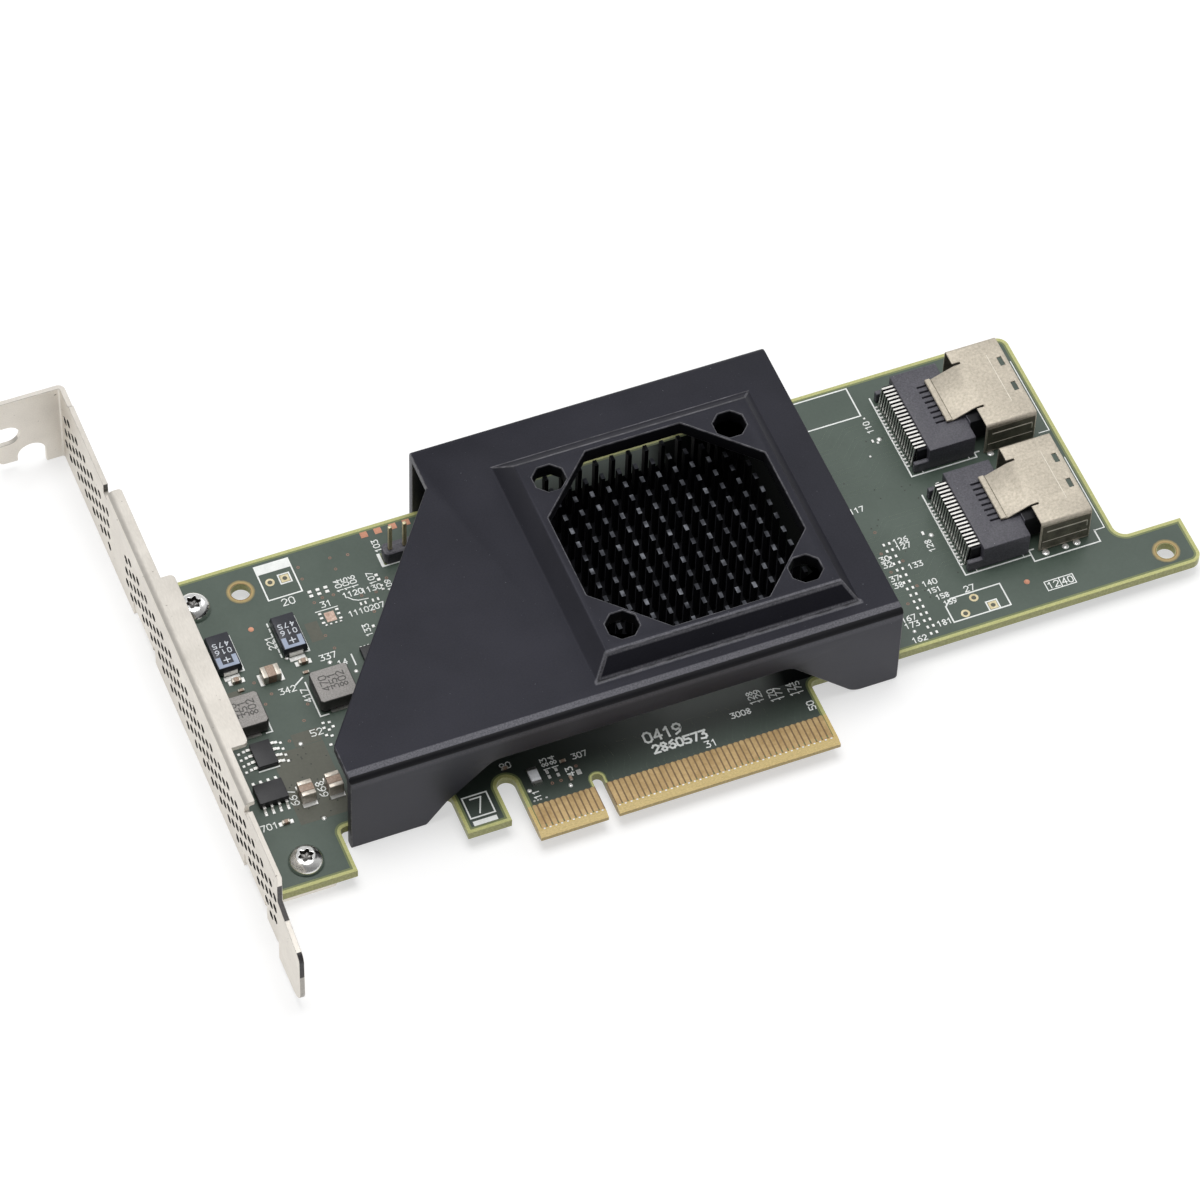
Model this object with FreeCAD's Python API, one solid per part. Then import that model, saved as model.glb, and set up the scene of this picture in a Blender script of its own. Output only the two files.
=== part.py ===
"""Low-profile host bus adapter with a full-height vented bracket, in millimetres.

X runs along the card from the bracket to its tail, Y from the finger edge to the
rear edge, Z up from the board to its components.  The origin is the middle of the
key notch, on the finger edge, at half the board's thickness.
"""
import FreeCAD, Part
import math
import os

V = FreeCAD.Vector
CLOSE = 1e-6
CUT_MARGIN = 1.0                # cuts run this far past the faces they open

# Circuit board
BOARD_THICKNESS = 1.57
BOARD_LEFT_GAP = 0.65           # board's end to the bracket's inner face
BOARD_REAR = 68.9
BOARD_RIGHT = 99.5
FRONT_EDGE = 13.1               # edge of the board beside the finger tab
TAIL_END = 110.95
TAIL_REAR = 22.35
TAIL_CORNER = 2.0
TAIL_FILLET = 2.2
REAR_CORNER = 2.0
INNER_FILLET = 1.0
LEFT_TAB_EDGE = 4.35
LEFT_TAB_RIGHT = -42.3
SIDE_TAB_WIDTH = 7.5
SIDE_TAB_EDGE = 4.75
RETENTION_SLOT = 3.2
RETENTION_TOP = 13.0
BOARD_HOLE = 3.3
BOARD_HOLE_X, BOARD_HOLE_Y = -41.0, 63.4
TAIL_HOLE = 3.2
TAIL_HOLE_X, TAIL_HOLE_Y = 105.8, 16.85

# Edge contacts
KEY_WIDTH = 1.9
KEY_TOP = 8.4
SHORT_TAB = 11.65
LONG_TAB = 38.65
SHORT_TAB_PADS = 11
LONG_TAB_PADS = 38
PAD_PITCH = 1.0
PAD_WIDTH = 0.7
PAD_START = 1.5
PAD_LENGTH = 4.7
PAD_THICKNESS = 0.05
FIRST_PAD = 0.55                # key notch side to the centre of the pad beside it
BEVEL_LENGTH = 1.2
BEVEL_DEPTH = 0.4

# Bracket
SHEET = 0.86
BEND = 0.4                      # inside radius of the sheet's bends
BRACKET_OUTER = -58.01
BRACKET_WIDTH = 18.42
BRACKET_LENGTH = 120.02
BRACKET_TIP = -15.2
COMPONENT_HEIGHT = 14.47        # bracket's upper edge above the board
NECK_STEP = 0.6
NECK_LENGTH = 3.8
EAR_REACH = 11.43
EAR_SLOT = 4.4
EAR_SLOT_DEPTH = 4.0
EAR_NOTCH = 5.0
EAR_NOTCH_HEIGHT = 5.6
EAR_LEG = 3.1
EAR_LIP_RISE = 2.2
JOG = 1.2                       # the tongue stands out from the bracket's face
JOG_START = -2.0
JOG_RUN = 3.5
SHOULDER_START = -3.4
TONGUE_START = -8.9
TONGUE_SHOULDER = 1.8
TONGUE_HIGH_INSET = 3.6
TONGUE_LOW_INSET = 1.9
LOW_SHOULDER_START = -1.0
LOW_SHOULDER_END = -5.2
FLANGE_REAR = 80.0
FLANGE_WIDE_REAR = 60.3
FLANGE_WIDE_FRONT = 24.2
FLANGE_FRONT = 13.2
FLANGE_REACH_REAR = 1.7
FLANGE_REACH_WIDE = 3.9
FLANGE_REACH_FRONT = 1.0
FLANGE_CORNER = 0.9
RELIEF = 1.6
RELIEF_DEPTH = 0.7
TAB_WIDTH = 9.0
TAB_MARGIN = 4.2                # screw's axis to the end of the tab
TAB_RELIEF = 0.9

# Vent holes in the bracket
VENT = 1.3
VENT_ROW_PITCH = 3.97
VENT_COLUMN_PITCH = 3.08
VENT_COLUMN_COUNT = 4
VENT_INSET = 3.75               # lowest row above the bracket's lower edge
VENT_EAR_MARGIN = 1.2           # last column to the ear's fold
VENT_REAR_START = 80.2
VENT_FRONT_END = 71.2
VENT_FRONT_START = -0.6

# Bracket screws
SCREW_X = -49.4
SCREW_YS = (8.9, 62.8)
SCREW_SHANK = 2.9
SCREW_HEAD = 5.8
SCREW_CROWN = 3.4               # flat on top of the head
SCREW_HEAD_HEIGHT = 1.9
SCREW_HEAD_RIM = 0.9
SCREW_END = 0.5
SCREW_FIT = 0.1                 # tab hole over the shank, in diameter
SCREW_CLEARANCE = 0.4           # board hole over the shank, in diameter

# Air shroud
WALL = 1.6
EDGE_FIT = 0.2                  # board's edges to the shroud's walls
SHROUD_LEFT_GAP = 0.4
SHROUD_RIGHT = 54.75
SHROUD_REAR_LEFT = -8.6
DIAGONAL_REAR = 62.5
DIAGONAL_FRONT = 18.8
FRONT_ROUND = 1.0
REAR_ROUND = 1.2
FOOT_RISE = 0.6                 # skirt's step beside the side tab, above the board
FOOT_RUN = 3.4
CUTOUT_HEIGHT = 8.1
CUTOUT_LEFT = -16.5
CUTOUT_RIGHT = 35.2
CUTOUT_ROUND = 3.0
RIGHT_FOOT = 46.9
REAR_FOOT = -0.5                # end of the rear wall's left foot
FAN_X, FAN_Y = 25.7, 38.1
PLATFORM_WIDTH = 41.0
PLATFORM_DEPTH = 40.8
PLATFORM_RISE = 4.15
PLATFORM_THICKNESS = 2.7
SLOPE_LEFT, SLOPE_RIGHT = 2.3, 2.5
SLOPE_FRONT, SLOPE_REAR = 2.1, 4.0
FAN_OPENING = 38.2
FAN_OPENING_FLAT = 16.8
FAN_HOLE_SPACING = 32.0
FAN_HOLE = 5.2
REAR_CLIPS = (-4.6, 51.0)
FRONT_CLIPS = (-34.5, 51.0)
CLIP_WIDTH = 4.0
CLIP_REACH = 1.5
CLIP_HEIGHT = 3.0
CLIP_FIT = 0.1                  # hook to the underside of the board

# Heatsink and controller
PIN_COUNT = 13
PIN_PITCH = 2.97
PIN_WIDTH = 0.65
PIN_DEPTH = 1.2
PIN_GAP = 1.4                   # pin tops to the shroud's ceiling
SINK_X, SINK_Y = 26.17, 41.7
SINK_MARGIN = 0.3
SINK_BASE = 2.6
CHIP_WIDTH = 27.0
CHIP_HEIGHT = 1.7
THERMAL_PAD = 0.25
THERMAL_PAD_MARGIN = 1.0

# Drive connectors
PORT_YS = {"front": 33.1, "rear": 55.35}
HOUSING_LEFT = 75.65
HOUSING_LENGTH = 8.45
HOUSING_WIDTH = 17.2
HOUSING_HEIGHT = 5.0
CHEEK_LENGTH = 2.6
CHEEK_WIDTH = 0.9
CHEEK_HEIGHT = 2.2
NOSE_LENGTH = 6.6
NOSE_GAP = 2.6                  # nose to the inside of the cage
NOSE_LOW, NOSE_HIGH = 0.9, 5.6
CARD_SLOT = 1.3
CARD_SLOT_DEPTH = 5.0
CARD_SLOT_MARGIN = 1.2
CAGE_LEFT = 85.8
CAGE_LENGTH = 9.25
CAGE_WIDTH = 17.6
CAGE_HEIGHT = 7.2
CAGE_SHEET = 0.3
CAGE_CORNER = 0.6
LEAF_WIDTH = 9.5
LEAF_OFFSET = 0.6
LEAF_SLIT = 0.4
LEAF_SLIT_DEPTH = 1.4
LEAF_LOW_X = 81.9
LEAF_END_X = 80.6
LEAF_GAP = 0.1                  # spring leaf to the housing's top
LATCH_WIDTH = 1.9
LATCH_LENGTH = 0.8
LATCH_SPACING = 5.7
LATCH_INSET = 1.2
LEAD_COUNT = 18
LEAD_PITCH = 0.8
LEAD_WIDTH = 0.36
LEAD_SHEET = 0.2
LEAD_HEIGHT = 4.6
LEAD_REACH = 2.1
LEAD_SLANT = 0.4

# Parts beside the shroud, each placed by the middle of its footprint
TANTALUM_SIZE = (4.2, 7.3, 1.95)
TANTALUM_PLACES = {"left": (-48.2, 51.6), "right": (-36.85, 51.6)}
TANTALUM_STRIP = 2.4
STRIP_SHEET = 0.15
TANTALUM_STRIP_HEIGHT = 1.1
TANTALUM_FOOT = 0.8
INDUCTOR_SIZE = (6.6, 6.6, 2.7)
INDUCTOR_LIFT = 0.25
INDUCTOR_CORNER = 0.45
INDUCTOR_PLACES = {"left": (-49.3, 38.4), "right": (-33.75, 38.6)}
INDUCTOR_STRIP = 3.4
INDUCTOR_STRIP_REACH = 0.45
POWER_CHIP_SIZE = (3.4, 4.9, 0.95)
POWER_CHIP_PLACE = (-48.7, 30.7)
POWER_LEAD_COUNT = 4
POWER_LEAD_PITCH = 1.27
POWER_LEAD_SIZE = (0.7, 0.5, 0.25)
MEMORY_SIZE = (4.9, 3.9, 1.45)
MEMORY_LIFT = 0.1
MEMORY_PLACE = (-50.3, 22.9)
FLASH_SIZE = (5.0, 6.0, 0.8)
FLASH_PLACE = (-8.0, 48.0)
GULL_COUNT = 4
GULL_PITCH = 1.27
GULL_WIDTH = 0.42
GULL_SHEET = 0.2
GULL_HEIGHT = 0.75
GULL_REACH = 1.05
GULL_FOOT = 0.5
MONITOR_SIZE = (4.0, 4.0, 0.9)
MONITOR_PLACE = (-24.9, 43.2)
CRYSTAL_SIZE = (3.2, 5.0, 1.1)
CRYSTAL_PLACE = (-8.0, 32.0)
FUSE_SIZE = (1.6, 3.2, 0.6)
FUSE_PLACE = (-9.4, 11.3)
FUSE_END = 0.5
# Ceramic capacitors: middle of the footprint, size and the axis their ends lie on
CERAMICS = (
    ((-44.9, 21.0), (2.4, 3.0, 2.3), "y"),
    ((-40.2, 21.0), (2.4, 3.0, 2.3), "y"),
    ((-42.3, 45.2), (3.1, 2.3, 1.9), "x"),
    ((-36.3, 46.1), (1.6, 0.9, 0.8), "x"),
    ((-47.8, 46.3), (1.6, 0.9, 0.8), "x"),
    ((-49.8, 17.1), (1.3, 0.7, 0.6), "x"),
)
CERAMIC_END = 0.28              # share of the length under each metal end
HEADER_PLACE = (-12.9, 61.35)
HEADER_PIN_COUNT = 3
HEADER_PITCH = 2.54
HEADER_BASE = 2.54
HEADER_CHAMFER = 0.5
HEADER_PIN = 0.64
HEADER_PIN_TOP = 8.3
HEADER_PIN_TAIL = 1.4
HEADER_HOLE_FIT = 0.2           # board hole over the pin, across its flats

# Levels and places that follow from the sizes above
BOARD_TOP = BOARD_THICKNESS / 2
BOARD_BOTTOM = -BOARD_TOP
BRACKET_INNER = BRACKET_OUTER + SHEET
BRACKET_HIGH = BOARD_TOP + COMPONENT_HEIGHT
BRACKET_LOW = BRACKET_HIGH - BRACKET_WIDTH
BRACKET_REAR = BRACKET_TIP + BRACKET_LENGTH
BEND_OUTER = BEND + SHEET
BOARD_LEFT = BRACKET_INNER + BOARD_LEFT_GAP
FINGER_LEFT = -KEY_WIDTH / 2 - SHORT_TAB
FINGER_RIGHT = KEY_WIDTH / 2 + LONG_TAB
SIDE_TAB_RIGHT = FINGER_LEFT - RETENTION_SLOT
SIDE_TAB_LEFT = SIDE_TAB_RIGHT - SIDE_TAB_WIDTH
SHROUD_TOP = BRACKET_HIGH
SHROUD_CEILING = SHROUD_TOP - WALL
SHROUD_BOTTOM = BRACKET_LOW
SHROUD_LEFT = LEFT_TAB_RIGHT + INNER_FILLET + SHROUD_LEFT_GAP
SHROUD_FRONT = FRONT_EDGE - EDGE_FIT - WALL
SHROUD_REAR = BOARD_REAR + EDGE_FIT + WALL
PLATFORM_TOP = SHROUD_TOP + PLATFORM_RISE
CHIP_TOP = BOARD_TOP + CHIP_HEIGHT
SINK_BOTTOM = CHIP_TOP + THERMAL_PAD
PIN_BOTTOM = SINK_BOTTOM + SINK_BASE
PIN_TOP = SHROUD_CEILING - PIN_GAP
HEADER_HOLE = HEADER_PIN + HEADER_HOLE_FIT


def on_xy(z):
    """Places a flat outline at height z, its two coordinates along X and Y."""
    return lambda point: V(point.x, point.y, z)


def on_yz(x):
    """Places a flat outline across X, its two coordinates along Y and Z."""
    return lambda point: V(x, point.x, point.y)


def on_xz(y):
    """Places a flat outline across Y, its two coordinates along X and Z."""
    return lambda point: V(point.x, y, point.y)


def outline(corners, place):
    """Closed wire through (a, b) or (a, b, radius) corners, rounded by tangent arcs."""
    flat = [V(corner[0], corner[1], 0) for corner in corners]
    radii = [corner[2] if len(corner) > 2 else 0 for corner in corners]
    turns = []
    for index, corner in enumerate(flat):
        back = (flat[index - 1] - corner).normalize()
        ahead = (flat[(index + 1) % len(flat)] - corner).normalize()
        half = back.getAngle(ahead) / 2
        reach = radii[index] / math.tan(half)
        inward = (back + ahead).normalize() * (radii[index] / math.sin(half) - radii[index])
        turns.append((corner + back * reach, corner + inward, corner + ahead * reach))
    edges = []
    for index, (start, middle, end) in enumerate(turns):
        if radii[index] > 0:
            edges.append(Part.Arc(place(start), place(middle), place(end)).toShape())
        following = turns[(index + 1) % len(turns)][0]
        if (following - end).Length > CLOSE:
            edges.append(Part.makeLine(place(end), place(following)))
    return Part.Wire(edges)


def prism(corners, place, along):
    """Solid of a rounded outline carried along a vector."""
    return Part.Face(outline(corners, place)).extrude(along)


def block(x_span, y_span, z_span):
    """Box between the two ends of each span."""
    size = [high - low for low, high in (x_span, y_span, z_span)]
    return Part.makeBox(*size, V(x_span[0], y_span[0], z_span[0]))


def span(middle, width):
    """The two ends of a width about its middle."""
    return (middle - width / 2, middle + width / 2)


def drill(x, y, diameter, z_span):
    """Round bar along Z, used to cut a hole."""
    return Part.makeCylinder(diameter / 2, z_span[1] - z_span[0], V(x, y, z_span[0]))


def octagon(x, y, width, flat):
    """Corners of an octagon with the given width and length of its four long flats."""
    half, side = width / 2, flat / 2
    return [(x + a, y + b) for a, b in (
        (-half, -side), (-side, -half), (side, -half), (half, -side),
        (half, side), (side, half), (-side, half), (-half, side))]


def regular_octagon(x, y, width):
    """Octagon with equal sides, given its width across the flats."""
    return octagon(x, y, width, width * math.tan(math.pi / 8))


def group(solids):
    """Separate solids kept together in one node."""
    return Part.makeCompound(solids)


def header_pin_places():
    """Axes of the header's pins, along X."""
    first = HEADER_PLACE[0] - (HEADER_PIN_COUNT - 1) / 2 * HEADER_PITCH
    return [(first + index * HEADER_PITCH, HEADER_PLACE[1]) for index in range(HEADER_PIN_COUNT)]


def circuit_board():
    """Board with finger tab, key notch, retention slot, side tabs and tail."""
    slot_round = RETENTION_SLOT / 2
    key_round = KEY_WIDTH / 2
    corners = [
        (BOARD_LEFT, LEFT_TAB_EDGE),
        (LEFT_TAB_RIGHT, LEFT_TAB_EDGE),
        (LEFT_TAB_RIGHT, FRONT_EDGE, INNER_FILLET),
        (SIDE_TAB_LEFT, FRONT_EDGE, INNER_FILLET),
        (SIDE_TAB_LEFT, SIDE_TAB_EDGE),
        (SIDE_TAB_RIGHT, SIDE_TAB_EDGE),
        (SIDE_TAB_RIGHT, RETENTION_TOP, slot_round),
        (FINGER_LEFT, RETENTION_TOP, slot_round),
        (FINGER_LEFT, 0),
        (-key_round, 0),
        (-key_round, KEY_TOP, key_round),
        (key_round, KEY_TOP, key_round),
        (key_round, 0),
        (FINGER_RIGHT, 0),
        (FINGER_RIGHT, FRONT_EDGE, INNER_FILLET),
        (TAIL_END, FRONT_EDGE, TAIL_CORNER),
        (TAIL_END, TAIL_REAR),
        (BOARD_RIGHT, TAIL_REAR, TAIL_FILLET),
        (BOARD_RIGHT, BOARD_REAR, REAR_CORNER),
        (BOARD_LEFT, BOARD_REAR),
    ]
    board = prism(corners, on_xy(BOARD_BOTTOM), V(0, 0, BOARD_THICKNESS))
    through = (BOARD_BOTTOM - CUT_MARGIN, BOARD_TOP + CUT_MARGIN)
    cuts = [drill(BOARD_HOLE_X, BOARD_HOLE_Y, BOARD_HOLE, through),
            drill(TAIL_HOLE_X, TAIL_HOLE_Y, TAIL_HOLE, through)]
    cuts += [drill(SCREW_X, y, SCREW_SHANK + SCREW_CLEARANCE, through) for y in SCREW_YS]
    cuts += [block(span(x, HEADER_HOLE), span(y, HEADER_HOLE), through)
             for x, y in header_pin_places()]
    for side in (1, -1):
        bevel = [(0, side * (BOARD_TOP - BEVEL_DEPTH)), (BEVEL_LENGTH, side * BOARD_TOP),
                 (0, side * BOARD_TOP)]
        cuts.append(prism(bevel, on_yz(FINGER_LEFT), V(FINGER_RIGHT - FINGER_LEFT, 0, 0)))
    return board.cut(cuts)


def edge_contacts(z_span):
    """Gold pads on one face of the finger tab, either side of the key notch."""
    first = KEY_WIDTH / 2 + FIRST_PAD
    middles = [-first - index * PAD_PITCH for index in range(SHORT_TAB_PADS)]
    middles += [first + index * PAD_PITCH for index in range(LONG_TAB_PADS)]
    y_span = (PAD_START, PAD_START + PAD_LENGTH)
    return group([block(span(x, PAD_WIDTH), y_span, z_span) for x in middles])


def bend_along_y(x, z, y_span, start_angle):
    """Quarter bend of the sheet about an axis along Y."""
    length = y_span[1] - y_span[0]
    outer = Part.makeCylinder(BEND_OUTER, length, V(x, y_span[0], z), V(0, 1, 0))
    inner = Part.makeCylinder(BEND, length, V(x, y_span[0], z), V(0, 1, 0))
    quarter = block((x - BEND_OUTER, x), y_span,
                    (z, z + BEND_OUTER) if start_angle > 0 else (z - BEND_OUTER, z))
    return outer.cut(inner).common(quarter)


def bracket_face():
    """Flat face, shoulders and stepped tongue, cut out of a sheet folded along Z."""
    tongue_outer = BRACKET_OUTER - JOG
    jog_end = JOG_START - JOG_RUN
    ear_bend = BRACKET_REAR - BEND_OUTER
    fold = [(BRACKET_OUTER, ear_bend), (BRACKET_OUTER, JOG_START), (tongue_outer, jog_end),
            (tongue_outer, BRACKET_TIP), (tongue_outer + SHEET, BRACKET_TIP),
            (tongue_outer + SHEET, jog_end), (BRACKET_INNER, JOG_START),
            (BRACKET_INNER, ear_bend)]
    sheet = prism(fold, on_xy(BRACKET_LOW), V(0, 0, BRACKET_WIDTH))

    neck_high = BRACKET_HIGH - NECK_STEP
    neck_end = ear_bend - NECK_LENGTH
    flange_seat = BRACKET_HIGH - BEND_OUTER
    relief_floor = flange_seat - RELIEF_DEPTH
    tongue_high = BRACKET_HIGH - TONGUE_HIGH_INSET
    tongue_low = BRACKET_LOW + TONGUE_LOW_INSET
    tip_round = (tongue_high - tongue_low) / 4
    upper = [
        (ear_bend, neck_high), (neck_end, neck_high), (neck_end - NECK_STEP, BRACKET_HIGH),
        (FLANGE_REAR + RELIEF, BRACKET_HIGH), (FLANGE_REAR + RELIEF, relief_floor),
        (FLANGE_REAR, relief_floor), (FLANGE_REAR, flange_seat), (FLANGE_FRONT, flange_seat),
        (FLANGE_FRONT, relief_floor), (FLANGE_FRONT - RELIEF, relief_floor),
        (FLANGE_FRONT - RELIEF, BRACKET_HIGH), (SHOULDER_START, BRACKET_HIGH),
        (TONGUE_START, BRACKET_HIGH - TONGUE_SHOULDER), (BRACKET_TIP, tongue_high, tip_round / 2),
    ]
    lower = [
        (BRACKET_TIP, tongue_low, tip_round), (LOW_SHOULDER_END, tongue_low),
        (LOW_SHOULDER_START, BRACKET_LOW),
    ]
    tab_seat = BOARD_BOTTOM + BEND
    for y in SCREW_YS:
        near, far = span(y, TAB_WIDTH)
        lower += [
            (near - TAB_RELIEF, BRACKET_LOW), (near - TAB_RELIEF, tab_seat + TAB_RELIEF),
            (near, tab_seat + TAB_RELIEF), (near, tab_seat), (far, tab_seat),
            (far, tab_seat + TAB_RELIEF), (far + TAB_RELIEF, tab_seat + TAB_RELIEF),
            (far + TAB_RELIEF, BRACKET_LOW),
        ]
    lower.append((ear_bend, BRACKET_LOW))
    sides = BRACKET_INNER - tongue_outer
    return sheet.common(prism(upper + lower, on_yz(tongue_outer), V(sides, 0, 0)))


def bracket_flange():
    """Flange folded inward along the bracket's upper edge, wide over its middle."""
    reach = [BRACKET_INNER + width for width in
             (FLANGE_REACH_FRONT, FLANGE_REACH_WIDE, FLANGE_REACH_REAR)]
    fold = BRACKET_OUTER + BEND_OUTER
    corner = [min(FLANGE_CORNER, (end - fold) / 2) for end in reach]
    plan = [
        (fold, FLANGE_FRONT), (reach[0], FLANGE_FRONT, corner[0]),
        (reach[0], FLANGE_WIDE_FRONT), (reach[1], FLANGE_WIDE_FRONT, corner[1]),
        (reach[1], FLANGE_WIDE_REAR, corner[1]), (reach[2], FLANGE_WIDE_REAR),
        (reach[2], FLANGE_REAR, corner[2]), (fold, FLANGE_REAR),
    ]
    plate = prism(plan, on_xy(BRACKET_HIGH - SHEET), V(0, 0, SHEET))
    return plate.fuse(bend_along_y(fold, BRACKET_HIGH - BEND_OUTER, (FLANGE_FRONT, FLANGE_REAR), 1))


def bracket_tab(y):
    """Tab folded under the board, with the hole for its screw."""
    fold = BRACKET_OUTER + BEND_OUTER
    under = BOARD_BOTTOM - SHEET
    y_span = span(y, TAB_WIDTH)
    end = SCREW_X + TAB_MARGIN
    cut = FLANGE_CORNER
    plan = [(fold, y_span[0]), (end - cut, y_span[0]), (end, y_span[0] + cut),
            (end, y_span[1] - cut), (end - cut, y_span[1]), (fold, y_span[1])]
    plate = prism(plan, on_xy(under), V(0, 0, SHEET))
    through = (under - CUT_MARGIN, BOARD_BOTTOM + CUT_MARGIN)
    plate = plate.cut(drill(SCREW_X, y, SCREW_SHANK + SCREW_FIT, through))
    return plate.fuse(bend_along_y(fold, under + BEND_OUTER, y_span, -1))


def bracket_ear():
    """Ear folded outward at the top, with an open screw slot and a notch in its edge."""
    fold_x = BRACKET_OUTER - BEND
    fold_y = BRACKET_REAR - BEND_OUTER
    end = BRACKET_OUTER - EAR_REACH
    high = BRACKET_HIGH - NECK_STEP
    lip = BRACKET_LOW + EAR_LIP_RISE
    notch_right = BRACKET_OUTER - EAR_LEG
    notch_left = notch_right - EAR_NOTCH
    notch_top = BRACKET_LOW + EAR_NOTCH_HEIGHT
    slot_low, slot_high = span((BRACKET_HIGH + BRACKET_LOW) / 2, EAR_SLOT)
    slot_end = end + EAR_SLOT_DEPTH
    face = [
        (fold_x, high), (fold_x, BRACKET_LOW), (notch_right, BRACKET_LOW),
        (notch_right, notch_top, EAR_NOTCH / 2), (notch_left, notch_top, EAR_NOTCH / 2),
        (notch_left, lip), (end, lip, EAR_SLOT / 4), (end, slot_low),
        (slot_end, slot_low, EAR_SLOT / 2), (slot_end, slot_high, EAR_SLOT / 2),
        (end, slot_high), (end, high, EAR_SLOT / 4),
    ]
    plate = prism(face, on_xz(BRACKET_REAR - SHEET), V(0, SHEET, 0))
    height = high - BRACKET_LOW
    centre = V(fold_x, fold_y, BRACKET_LOW)
    ring = Part.makeCylinder(BEND_OUTER, height, centre).cut(
        Part.makeCylinder(BEND, height, centre))
    corner = block((fold_x, fold_x + BEND_OUTER), (fold_y, fold_y + BEND_OUTER),
                   (BRACKET_LOW, high))
    return plate.fuse(ring.common(corner))


def vent_places():
    """Middles of the vent holes, in columns that step half a pitch to and fro."""
    step = VENT_ROW_PITCH / 2
    ear_end = BRACKET_REAR - BEND_OUTER - VENT_EAR_MARGIN
    tab_reach = TAB_WIDTH / 2 + TAB_RELIEF + VENT / 2
    tab_top = BOARD_BOTTOM + BEND + TAB_RELIEF + VENT / 2
    places = []
    fields = ((VENT_REAR_START, ear_end, False), (VENT_FRONT_START, VENT_FRONT_END, True))
    for first, last, starts_short in fields:
        for column in range(int((last - first) / step) + 1):
            y = first + column * step
            short = (column % 2 == 0) == starts_short
            lowest = BRACKET_LOW + VENT_INSET + (VENT_COLUMN_PITCH / 2 if short else 0)
            count = VENT_COLUMN_COUNT - 1 if short else VENT_COLUMN_COUNT
            column_places = [(y, lowest + row * VENT_COLUMN_PITCH) for row in range(count)]
            over_tab = any(abs(y - tab) < tab_reach for tab in SCREW_YS)
            places += [place for place in column_places if place[1] > tab_top or not over_tab]
    return places


def vent_corners(y, z):
    """Four-sided vent, standing on its point."""
    half = VENT / 2
    return [(y - half, z), (y, z - half), (y + half, z), (y, z + half)]


def io_bracket():
    """Folded bracket: face, tongue, ear, flange, two tabs and the vents."""
    folds = [bracket_ear(), bracket_flange()] + [bracket_tab(y) for y in SCREW_YS]
    bracket = bracket_face().fuse(folds).removeSplitter()
    along = V(SHEET + 2 * CUT_MARGIN, 0, 0)
    vents = [prism(vent_corners(y, z), on_yz(BRACKET_OUTER - CUT_MARGIN), along)
             for y, z in vent_places()]
    return bracket.cut(vents)


def bracket_screw(y):
    """Pan-head screw with a bevelled crown, through the board into the bracket's tab."""
    head, shank = SCREW_HEAD / 2, SCREW_SHANK / 2
    top = BOARD_TOP + SCREW_HEAD_HEIGHT
    rim = BOARD_TOP + SCREW_HEAD_RIM
    end = BOARD_BOTTOM - SHEET - SCREW_END
    points = [(0, top), (0, end), (shank, end), (shank, BOARD_TOP), (head, BOARD_TOP), (head, rim),
              (SCREW_CROWN / 2, top)]
    half = Part.Face(outline(points, on_xz(0)))
    screw = half.revolve(V(0, 0, 0), V(0, 0, 1), 360)
    screw.translate(V(SCREW_X, y, 0))
    return screw


def shroud_channel():
    """Top, front skirt and rear wall with rounded upper edges, trimmed to the plan."""
    inner_front, inner_rear = SHROUD_FRONT + WALL, SHROUD_REAR - WALL
    section = [
        (SHROUD_FRONT, SHROUD_BOTTOM), (SHROUD_FRONT, SHROUD_TOP, FRONT_ROUND),
        (SHROUD_REAR, SHROUD_TOP, REAR_ROUND), (SHROUD_REAR, SHROUD_BOTTOM),
        (inner_rear, SHROUD_BOTTOM), (inner_rear, SHROUD_CEILING),
        (inner_front, SHROUD_CEILING), (inner_front, SHROUD_BOTTOM),
    ]
    channel = prism(section, on_yz(SHROUD_LEFT), V(SHROUD_RIGHT - SHROUD_LEFT, 0, 0))
    plan = [
        (SHROUD_LEFT, SHROUD_FRONT - CUT_MARGIN), (SHROUD_RIGHT, SHROUD_FRONT - CUT_MARGIN),
        (SHROUD_RIGHT, SHROUD_REAR + CUT_MARGIN), (SHROUD_REAR_LEFT, SHROUD_REAR + CUT_MARGIN),
        (SHROUD_REAR_LEFT, DIAGONAL_REAR), (SHROUD_LEFT, DIAGONAL_FRONT),
    ]
    height = SHROUD_TOP - SHROUD_BOTTOM
    return channel.common(prism(plan, on_xy(SHROUD_BOTTOM), V(0, 0, height)))


def skirt_cutout():
    """Space over the finger tab, cut out of the front skirt between its two feet."""
    below = SHROUD_BOTTOM - CUT_MARGIN
    rise_x = SIDE_TAB_LEFT - INNER_FILLET - EDGE_FIT
    foot_x = rise_x - FOOT_RUN
    high = BOARD_TOP + CUTOUT_HEIGHT
    corners = [
        (foot_x, below), (foot_x, SHROUD_BOTTOM), (rise_x, BOARD_TOP + FOOT_RISE),
        (CUTOUT_LEFT, high, CUTOUT_ROUND), (CUTOUT_RIGHT, high, CUTOUT_ROUND),
        (RIGHT_FOOT, SHROUD_BOTTOM), (RIGHT_FOOT, below),
    ]
    return prism(corners, on_xz(SHROUD_FRONT - CUT_MARGIN), V(0, WALL + 2 * CUT_MARGIN, 0))


def rear_cutout():
    """Air gap in the rear wall, with the same slope beside each of its two feet."""
    below = SHROUD_BOTTOM - CUT_MARGIN
    slope = RIGHT_FOOT - CUTOUT_RIGHT
    high = BOARD_TOP + CUTOUT_HEIGHT
    corners = [
        (REAR_FOOT, below), (REAR_FOOT, SHROUD_BOTTOM), (REAR_FOOT + slope, high, CUTOUT_ROUND),
        (CUTOUT_RIGHT, high, CUTOUT_ROUND), (RIGHT_FOOT, SHROUD_BOTTOM), (RIGHT_FOOT, below),
    ]
    start = SHROUD_REAR - WALL - CUT_MARGIN
    return prism(corners, on_xz(start), V(0, WALL + 2 * CUT_MARGIN, 0))


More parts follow.
